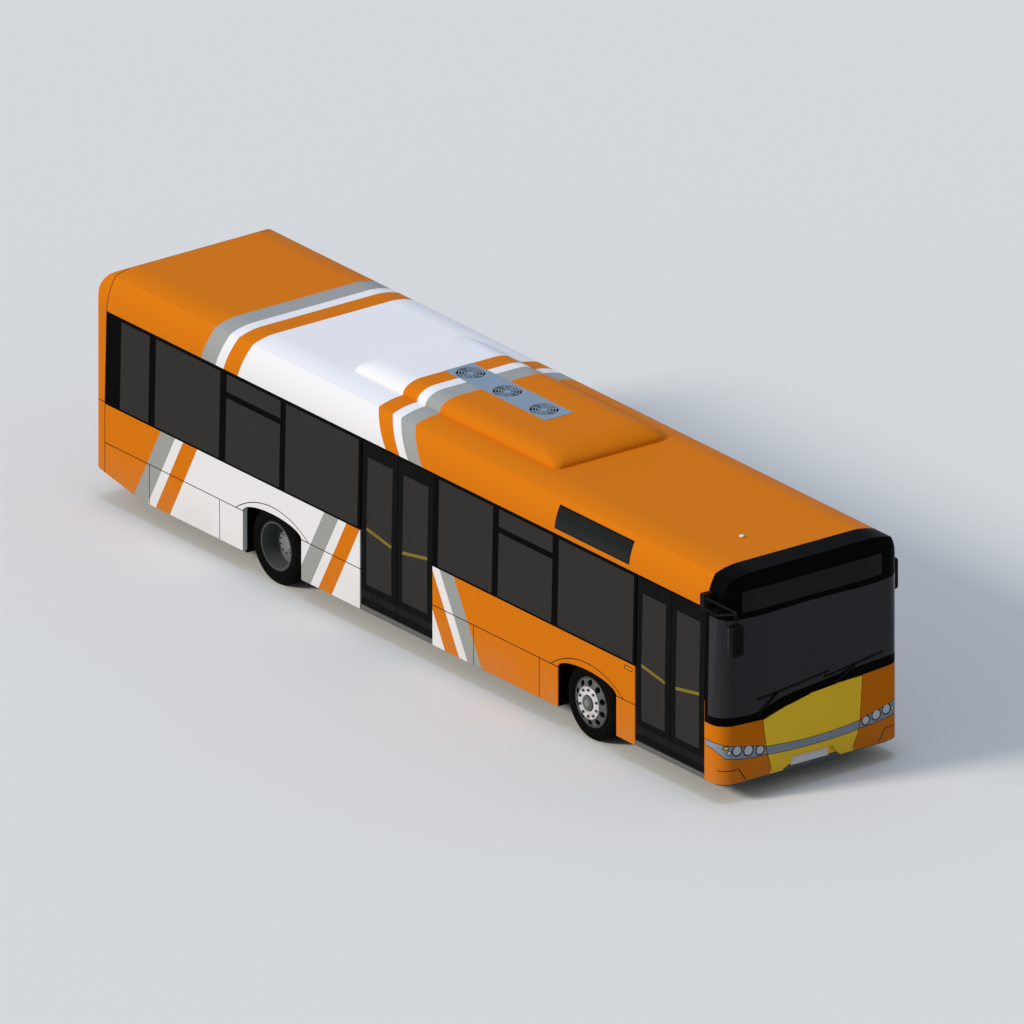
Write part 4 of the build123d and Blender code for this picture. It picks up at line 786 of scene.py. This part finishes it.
def joinPieces(pieces, name):
    bpy.ops.object.select_all(action="DESELECT")
    for piece in pieces:
        piece.select_set(True)
    bpy.context.view_layer.objects.active = pieces[0]
    bpy.ops.object.join()
    joined = bpy.context.object
    joined.name = name
    joined.data.name = name
    return joined


floor = startPiece("studioFloorPlane", bpy.ops.mesh.primitive_plane_add,
                   size=lightSetup["floorSize"], location=(0, 0, -0.0005))
settle(floor, 0)
floor.data.materials.append(makeFloorStage())
print("floor laid")

tyreShape = {      # side wall as (inset from the side, radius)
    "width": 0.275, "treadInset": 0.034, "treadGrooves": 4, "grooveWidth": 0.011,
    "grooveDepth": 0.012, "steps": 120, "twinSpacing": 0.315,
    "sideWall": [(0.022, 0.288), (0.010, 0.300), (0.007, 0.316), (0.011, 0.320), (0.003, 0.346),
                 (0, 0.372), (0.001, 0.388), (0.005, 0.392), (0.006, 0.408), (0.010, 0.425),
                 (0.020, 0.444), (0.034, 0.455)],
}


def tyreOutline():      # cross-section as (across, radius), outer side first
    half, radius = tyreShape["width"] / 2, stations["tyreRadius"]
    side = [(half - inset, high) for inset, high in tyreShape["sideWall"]]
    edge = half - tyreShape["treadInset"]
    wide, deep = tyreShape["grooveWidth"] / 2, tyreShape["grooveDepth"]
    tread = []
    for k in range(tyreShape["treadGrooves"]):
        centre = edge - 2 * edge * (k + 1) / (tyreShape["treadGrooves"] + 1)
        tread += [(centre + wide, radius), (centre + wide * 0.7, radius - deep),
                  (centre - wide * 0.7, radius - deep), (centre - wide, radius)]
    return side + tread + [(-across, high) for across, high in reversed(side)]


def spinProfile(name, points, axleX, middleY, steps):
    piece = startPiece(name, bpy.ops.mesh.primitive_circle_add, vertices=len(points), radius=0.1,
                       location=(0, 0, 0))
    wheelZ = stations["tyreRadius"]
    for vertex, (across, radius) in zip(piece.data.vertices, points):
        vertex.co = (axleX, middleY + across, wheelZ + radius)
    openEdit()
    bpy.ops.mesh.spin(steps=steps, angle=2 * pi, center=(axleX, middleY, wheelZ), axis=(0, 1, 0))
    bpy.ops.mesh.select_all(action="SELECT")
    bpy.ops.mesh.remove_doubles(threshold=0.00005)
    bpy.ops.mesh.normals_make_consistent(inside=False)
    closeEdit()
    return settle(piece, 40)


tyreMiddle = stations["hubPlane"] - tyreShape["width"] / 2


def makeTyres():
    outline = tyreOutline()
    for side, sideName in ((1, "left"), (-1, "right")):
        single = spinProfile(f"tyreFront_{sideName}", outline, stations["frontAxle"],
                             side * tyreMiddle, tyreShape["steps"])
        dress(single, "frontTread")
        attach(single, f"wheel_front_{sideName}")
        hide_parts(f"tyre_front_{sideName}")
        outer = spinProfile(f"tyreOuter_{sideName}", outline, stations["rearAxle"],
                            side * tyreMiddle, tyreShape["steps"])
        inward = Matrix.Translation((0, -side * tyreShape["twinSpacing"], 0))
        pair = joinPieces([outer, copyPiece(outer, "innerTyre", inward)], f"tyresRear_{sideName}")
        dress(pair, "rearTread")
        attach(pair, f"wheels_rear_{sideName}")
        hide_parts(f"tyres_rear_{sideName}")


makeTyres()
print("tyres done")

nutSetup = {
    "count": 10, "standOff": 0.012, "bevel": 0.16,
    "front": {"face": 1.245, "ring": 0.159, "radius": 0.0175, "length": 0.026},
    "rear": {"face": 1.059, "ring": 0.114, "radius": 0.0105, "length": 0.016},
}
discSetup = {"holes": 10, "holeRing": 0.240, "holeSize": (0.038, 0.12), "dish": 0.012}
hubProfiles = {      # (distance off the hub's face, radius), and the steps of a turn
    "nutGuard": ([(0.001, 0.193), (0.010, 0.1925), (0.013, 0.189), (0.012, 0.184), (0.008, 0.181),
                  (0.007, 0.140), (0.012, 0.118), (0.016, 0.104), (0.014, 0.097), (0.001, 0.096)],
                 96),
    "hubCap": ([(0.001, 0.090), (0.027, 0.0905), (0.032, 0.086), (0.034, 0.060), (0.030, 0.056),
                (0.031, 0.0005), (0.001, 0.0005)], 48),
    "hubPlug": ([(0.030, 0.046), (0.036, 0.045), (0.038, 0.041), (0.038, 0.0005),
                 (0.030, 0.0005)], 40),
    "wheelDisc": ([(0.001, 0.186), (-0.002, 0.205), (-0.025, 0.275), (-0.033, 0.2935),
                   (-0.039, 0.2935), (-0.031, 0.273), (-0.008, 0.203), (-0.005, 0.186)], 120),
    "rearHubPlate": ([(0.001, 0.140), (0.006, 0.139), (0.007, 0.135), (0.007, 0.092),
                      (0.020, 0.084), (0.024, 0.0005), (0.001, 0.0005)], 80),
}


def ringOf(piece, name, axleX, count):
    copies = [piece]
    hub = Matrix.Translation((axleX, 0, stations["tyreRadius"]))
    for k in range(1, count):
        turn = hub @ Matrix.Rotation(2 * pi * k / count, 4, "Y") @ hub.inverted()
        copies.append(copyPiece(piece, f"{name}{k}", turn))
    return joinPieces(copies, name)


def makeNuts(place, axleX, side, name):
    setup = nutSetup[place]
    spot = (axleX, side * (setup["face"] + nutSetup["standOff"]),
            stations["tyreRadius"] + setup["ring"])
    nut = startCylinder("nut", 6, setup["radius"], setup["length"], spot, acrossBus)
    bevelEdges(setup["radius"] * nutSetup["bevel"], 2)
    return ringOf(settle(nut, 40), name, axleX, nutSetup["count"])


def spinHub(part, place, axleX, side, sideName):
    points, steps = hubProfiles[part]
    face = nutSetup[place]["face"]
    outline = [(side * (face + off), radius) for off, radius in points]
    return spinProfile(f"{part}_{sideName}", outline, axleX, 0, steps)


def makeDisc(axleX, side, sideName):      # dished disc with a ring of hand holes
    disc = spinHub("wheelDisc", "front", axleX, side, sideName)
    spot = (axleX, side * (nutSetup["front"]["face"] - discSetup["dish"]),
            stations["tyreRadius"] + discSetup["holeRing"])
    hole = startCylinder("handHole", 36, *discSetup["holeSize"], spot, acrossBus)
    cutAway(disc, ringOf(settle(hole, 0), "handHoles", axleX, discSetup["holes"]))
    return settle(disc, 30)


def makeHubs():
    for side, sideName in ((1, "left"), (-1, "right")):
        axle = stations["frontAxle"]
        nuts = makeNuts("front", axle, side, f"frontNuts_{sideName}")
        guard, cap, plug = (spinHub(part, "front", axle, side, sideName)
                            for part in ("nutGuard", "hubCap", "hubPlug"))
        disc = makeDisc(axle, side, sideName)
        for piece, finish in ((nuts, "nutSteel"), (guard, "chrome"), (cap, "wheelSteel"),
                              (plug, "hubSteel"), (disc, "wheelSteel")):
            dress(piece, finish)
            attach(piece, f"wheel_front_{sideName}")
        axle = stations["rearAxle"]
        rearNuts = makeNuts("rear", axle, side, f"rearNuts_{sideName}")
        plate = spinHub("rearHubPlate", "rear", axle, side, sideName)
        for piece, finish in ((rearNuts, "nutSteel"), (plate, "hubSteel")):
            dress(piece, finish)
            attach(piece, f"wheels_rear_{sideName}")


makeHubs()
print("hubs done")

seatSetup = {
    "width": 0.43, "length": 0.42, "depth": 0.11, "backThickness": 0.085, "backHeight": 0.56,
    "housingTop": 0.985, "deck": 1.010, "sideY": 0.96, "rowX": [-3.165, 2.655],
    "rearRowX": -5.767, "rearRowY": [-0.94, -0.47, 0.0, 0.47, 0.94],
    "driver": (4.255, 0.68, 0.59), "backOffset": 0.026, "backDrop": 0.01,
    "headRest": (0.075, 0.26, 0.17), "headSpot": (-0.010, 0.09), "gap": 0.02, "slim": 0.012,
    "pedestal": (0.15, 0.325), "pedestalZ": 0.427,
}
padSetup = {"cuts": 7, "pull": 0.035, "rounding": 0.45, "roundFrom": 0.62, "roundPower": 1.5,
            "channel": 0.10, "channelAt": 0.45, "channelHalf": 0.10}


def pad(name, centre, size, crown, lean=0.0):      # crowned, its sides drawn in
    piece = startPiece(name, bpy.ops.mesh.primitive_cube_add, size=1, location=(0, 0, 0))
    openEdit()
    bpy.ops.mesh.subdivide(number_cuts=padSetup["cuts"], smoothness=0)
    closeEdit()
    thin = size.index(min(size))
    wide = [k for k in range(3) if k != thin]
    start, power = padSetup["roundFrom"], padSetup["roundPower"]
    for vertex in piece.data.vertices:
        spot = vertex.co.copy() * 2
        a, b = spot[wide[0]], spot[wide[1]]
        edge = max(abs(a), abs(b))
        spot[wide[0]] = a * (1 - padSetup["pull"] * (1 - b * b) * abs(a))
        spot[wide[1]] = b * (1 - padSetup["pull"] * (1 - a * a) * abs(b))
        rounding = 1 - padSetup["rounding"] * (max(0, edge - start) / (1 - start)) ** power
        sewn = max(0, 1 - abs(abs(a) - padSetup["channelAt"]) / padSetup["channelHalf"])
        fullness = (1 + crown * (1 - a * a) * (1 - b * b)) * (1 - padSetup["channel"] * sewn)
        spot[thin] = spot[thin] * rounding * fullness
        moved = Vector([spot[k] * size[k] / 2 for k in range(3)])
        moved.x -= lean * moved.z
        vertex.co = moved + Vector(centre)
    modifier = piece.modifiers.new("soften", "SUBSURF")
    modifier.levels = modifier.render_levels = 1
    applyModifier(piece, modifier)
    return settle(piece, 60)


def makeSeats():
    length, width, depth = seatSetup["length"], seatSetup["width"], seatSetup["depth"]
    thick, high = seatSetup["backThickness"], seatSetup["backHeight"]
    backRise = depth + high / 2 - seatSetup["backDrop"]
    spots = [(x, side * seatSetup["sideY"], seatSetup["housingTop"])
             for x in seatSetup["rowX"] for side in (1, -1)]
    spots += [(seatSetup["rearRowX"], y, seatSetup["deck"]) for y in seatSetup["rearRowY"]]
    gap, slim = seatSetup["gap"], seatSetup["slim"]
    cushion = pad("cushion", (0, 0, 0), (length - gap, width - gap, depth - slim), 0.12)
    back = pad("back", (0, 0, 0), (thick - slim, width - gap, high), 0.16, 0.07)
    cushions, backs = [], []
    for k, (x, y, base) in enumerate(spots):
        seatSpot = Matrix.Translation((x + length / 2, y, base + depth / 2))
        backSpot = Matrix.Translation((x + seatSetup["backOffset"], y, base + backRise))
        cushions.append(copyPiece(cushion, f"c{k}", seatSpot))
        backs.append(copyPiece(back, f"b{k}", backSpot))
    for spare in (cushion, back):
        bpy.data.objects.remove(spare)
    cushions = joinPieces(cushions, "seatCushions")
    backs = joinPieces(backs, "seatBacks")
    for piece in (cushions, backs):
        dress(piece, "seatCloth")
        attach(piece, "body")
    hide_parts("seats")
    x, y, base = seatSetup["driver"]
    driverCushion = pad("driverCushion", (x + length / 2, y, base + depth / 2),
                        (length, width, depth), 0.12)
    driverBack = pad("driverBack", (x + seatSetup["backOffset"], y, base + backRise),
                     (thick, width, high), 0.16, 0.07)
    headX, headZ = seatSetup["headSpot"]
    headRest = pad("headRest", (x + headX, y, base + depth + high + headZ),
                   seatSetup["headRest"], 0.14, 0.05)
    pedestal = startCylinder("seatPedestal", 32, *seatSetup["pedestal"],
                             (x + length / 2, y, seatSetup["pedestalZ"]))
    bevelEdges(0.015, 3)
    settle(pedestal)
    dress(pedestal, "cabTrim")
    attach(pedestal, "body")
    for piece in (driverCushion, driverBack, headRest):
        dress(piece, "driverCloth")
        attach(piece, "body")
    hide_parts("driver_seat")


makeSeats()
print("seats done")

podSetup = {
    "centreX": -0.010, "halfLength": 1.905, "halfWidth": 0.785, "base": 2.7655, "top": 2.9175,
    "sideShoulder": 0.27, "endShoulder": 0.42, "corner": 0.10, "cornerGrowth": 0.22,
    "rings": 14, "cornerSteps": 10, "lift": 0.01, "swell": 0.92,
    "fans": [-0.734, -0.044, 0.641], "bore": (0.1755, 0.10), "boreZ": 2.925,
}


def podRing(draw, z):      # rounded outline, drawn in by 0 ... 1 of the shoulders
    halfLength = podSetup["halfLength"] - podSetup["endShoulder"] * draw
    halfWidth = podSetup["halfWidth"] - podSetup["sideShoulder"] * draw
    corner = podSetup["corner"] + podSetup["cornerGrowth"] * draw
    spots = []
    steps = podSetup["cornerSteps"]
    for signX, signY, start in ((1, 1, 0), (-1, 1, 90), (-1, -1, 180), (1, -1, 270)):
        for k in range(steps + 1):
            angle = radians(start + 90 * k / steps)
            spots.append(Vector((podSetup["centreX"] + signX * (halfLength - corner)
                                 + corner * cos(angle),
                                 signY * (halfWidth - corner) + corner * sin(angle), z)))
    return spots


def makePod():      # the outline extruded upwards, its rings drawn in over the shoulder
    base, rings = podSetup["base"], podSetup["rings"]
    outline = podRing(0, base)
    pod = startPiece("podShell", bpy.ops.mesh.primitive_circle_add, vertices=len(outline),
                     radius=1, fill_type="NGON", location=(0, 0, 0))
    for vertex, spot in zip(pod.data.vertices, outline):
        vertex.co = spot
    openEdit()
    for k in range(rings):
        bpy.ops.mesh.extrude_region_move(
            TRANSFORM_OT_translate={"value": (0, 0, podSetup["lift"])})
    bpy.ops.mesh.select_all(action="SELECT")
    bpy.ops.mesh.normals_make_consistent(inside=False)
    closeEdit()
    levels = {}
    for vertex in pod.data.vertices:
        levels.setdefault(round((vertex.co.z - base) / podSetup["lift"]), []).append(vertex)
    for level, vertices in levels.items():
        swing = pi / 2 * level / rings
        rise = (podSetup["top"] - base) * sin(swing) ** podSetup["swell"]
        target = podRing(1 - cos(swing), base + rise)
        for vertex in vertices:
            nearest = min(range(len(outline)),
                          key=lambda k: (outline[k].xy - vertex.co.xy).length)
            vertex.co = target[nearest]
    bores = [startCylinder(f"bore{k}", 64, *podSetup["bore"], (fanX, 0, podSetup["boreZ"]))
             for k, fanX in enumerate(podSetup["fans"])]
    cutAway(pod, settle(joinPieces(bores, "bores"), 0))
    settle(pod, 40)
    dress(pod, "livery")
    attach(pod, "body")
    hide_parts("aircon_pod")


makePod()
print("pod done")

aerialSetup = {"size": (0.030, 0.022), "spot": (4.758, -0.313, 2.777)}


def makeAerial():
    puck = startCylinder("roofAerial", 32, *aerialSetup["size"], aerialSetup["spot"])
    bevelEdges(0.008, 4)
    settle(puck)
    dress(puck, "plate")
    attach(puck, "body")


makeAerial()
print("aerial done")

fanSetup = {"blades": 9, "root": 0.040, "tip": 0.170, "z": 2.892, "pitch": 0.010,
            "hub": (0.046, 0.02), "cover": 0.86, "sweep": 0.35, "thick": 0.002, "flatten": 0.3}


def makeBlade(fanX, index, name):      # a grid bent round the hub, then made solid
    blade = startPiece(name, bpy.ops.mesh.primitive_grid_add, x_subdivisions=8,
                       y_subdivisions=4, size=1, location=(0, 0, 0))
    share = 2 * pi / fanSetup["blades"]
    for vertex in blade.data.vertices:
        along, over = vertex.co.x + 0.5, vertex.co.y + 0.5
        radius = fanSetup["root"] + (fanSetup["tip"] - fanSetup["root"]) * along
        angle = share * (index + over * fanSetup["cover"]) + along * fanSetup["sweep"]
        lift = fanSetup["pitch"] * (over - 0.5) * (1 - fanSetup["flatten"] * along)
        vertex.co = (fanX + radius * cos(angle), radius * sin(angle), fanSetup["z"] + lift)
    openEdit()
    bpy.ops.mesh.solidify(thickness=fanSetup["thick"])
    bpy.ops.mesh.normals_make_consistent(inside=False)
    closeEdit()
    return blade


def makeFans():
    wheels = []
    for k, fanX in enumerate(podSetup["fans"]):
        wheels += [makeBlade(fanX, b, f"blade{k}{b}") for b in range(fanSetup["blades"])]
        wheels.append(startCylinder(f"fanHub{k}", 32, *fanSetup["hub"],
                                    (fanX, 0, fanSetup["z"])))
        bevelEdges(0.004, 2)
    fans = settle(joinPieces(wheels, "fanWheels"), 30)
    dress(fans, "guard")
    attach(fans, "body")


makeFans()
print("fans done")


def makeGrabBars():
    inset, reach, footInset = grabBar["inset"], grabBar["foot"], grabBar["footInset"]
    start = grabBar["low"] + grabBar["lift"]
    for door in ("middle", "front"):
        for leaf in ("rear", "front"):
            low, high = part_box(f"door_glass_{door}_{leaf}")
            middle, inner = grabBar[f"{door}Door"], high[1] + reach
            ends = [Vector((x, inner, start + grabBar["rise"] * abs(x - middle)))
                    for x in (low[0] + inset, high[0] - inset)]
            span = ends[1] - ends[0]
            pieces = [startCylinder(f"grabBar_{door}_{leaf}", 20, grabBar["radius"], span.length,
                                    (ends[0] + ends[1]) / 2,
                                    span.to_track_quat("Z", "Y").to_euler())]
            bevelEdges(0.004, 2)
            for end, inward in zip(ends, (footInset, -footInset)):
                spot = (end.x + inward, inner - reach / 2, end.z + inward * span.z / span.x)
                pieces.append(startCylinder("barFoot", 16, grabBar["footRadius"], reach, spot,
                                            acrossBus))
                bevelEdges(0.002, 1)
            bars = settle(joinPieces(pieces, f"grabBar_{door}_{leaf}"))
            dress(bars, "rail")
            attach(bars, f"door_{door}_{leaf}")


makeGrabBars()
print("grab bars done")

paneSetup = {"size": (0.004, 0.124, 0.300), "headHalf": 0.070, "gap": 0.0005,
             "doorSide": (6.050, -1.365, 2.173), "driverSide": (5.304, 1.365, 2.095)}


def makePanes():
    panes = []
    for key in ("doorSide", "driverSide"):
        x, y, z = paneSetup[key]
        pane = startPiece(f"mirrorPane_{key}", bpy.ops.mesh.primitive_cube_add, size=1,
                          location=(x - paneSetup["headHalf"] - paneSetup["gap"], y, z))
        pane.scale = paneSetup["size"]
        settle(pane, 0)
        bevelEdges(0.0015, 2)
        panes.append(pane)
    panes = settle(joinPieces(panes, "mirrorPanes"), 40)
    dress(panes, "mirrorGlass")
    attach(panes, "body")


makePanes()
print("panes done")
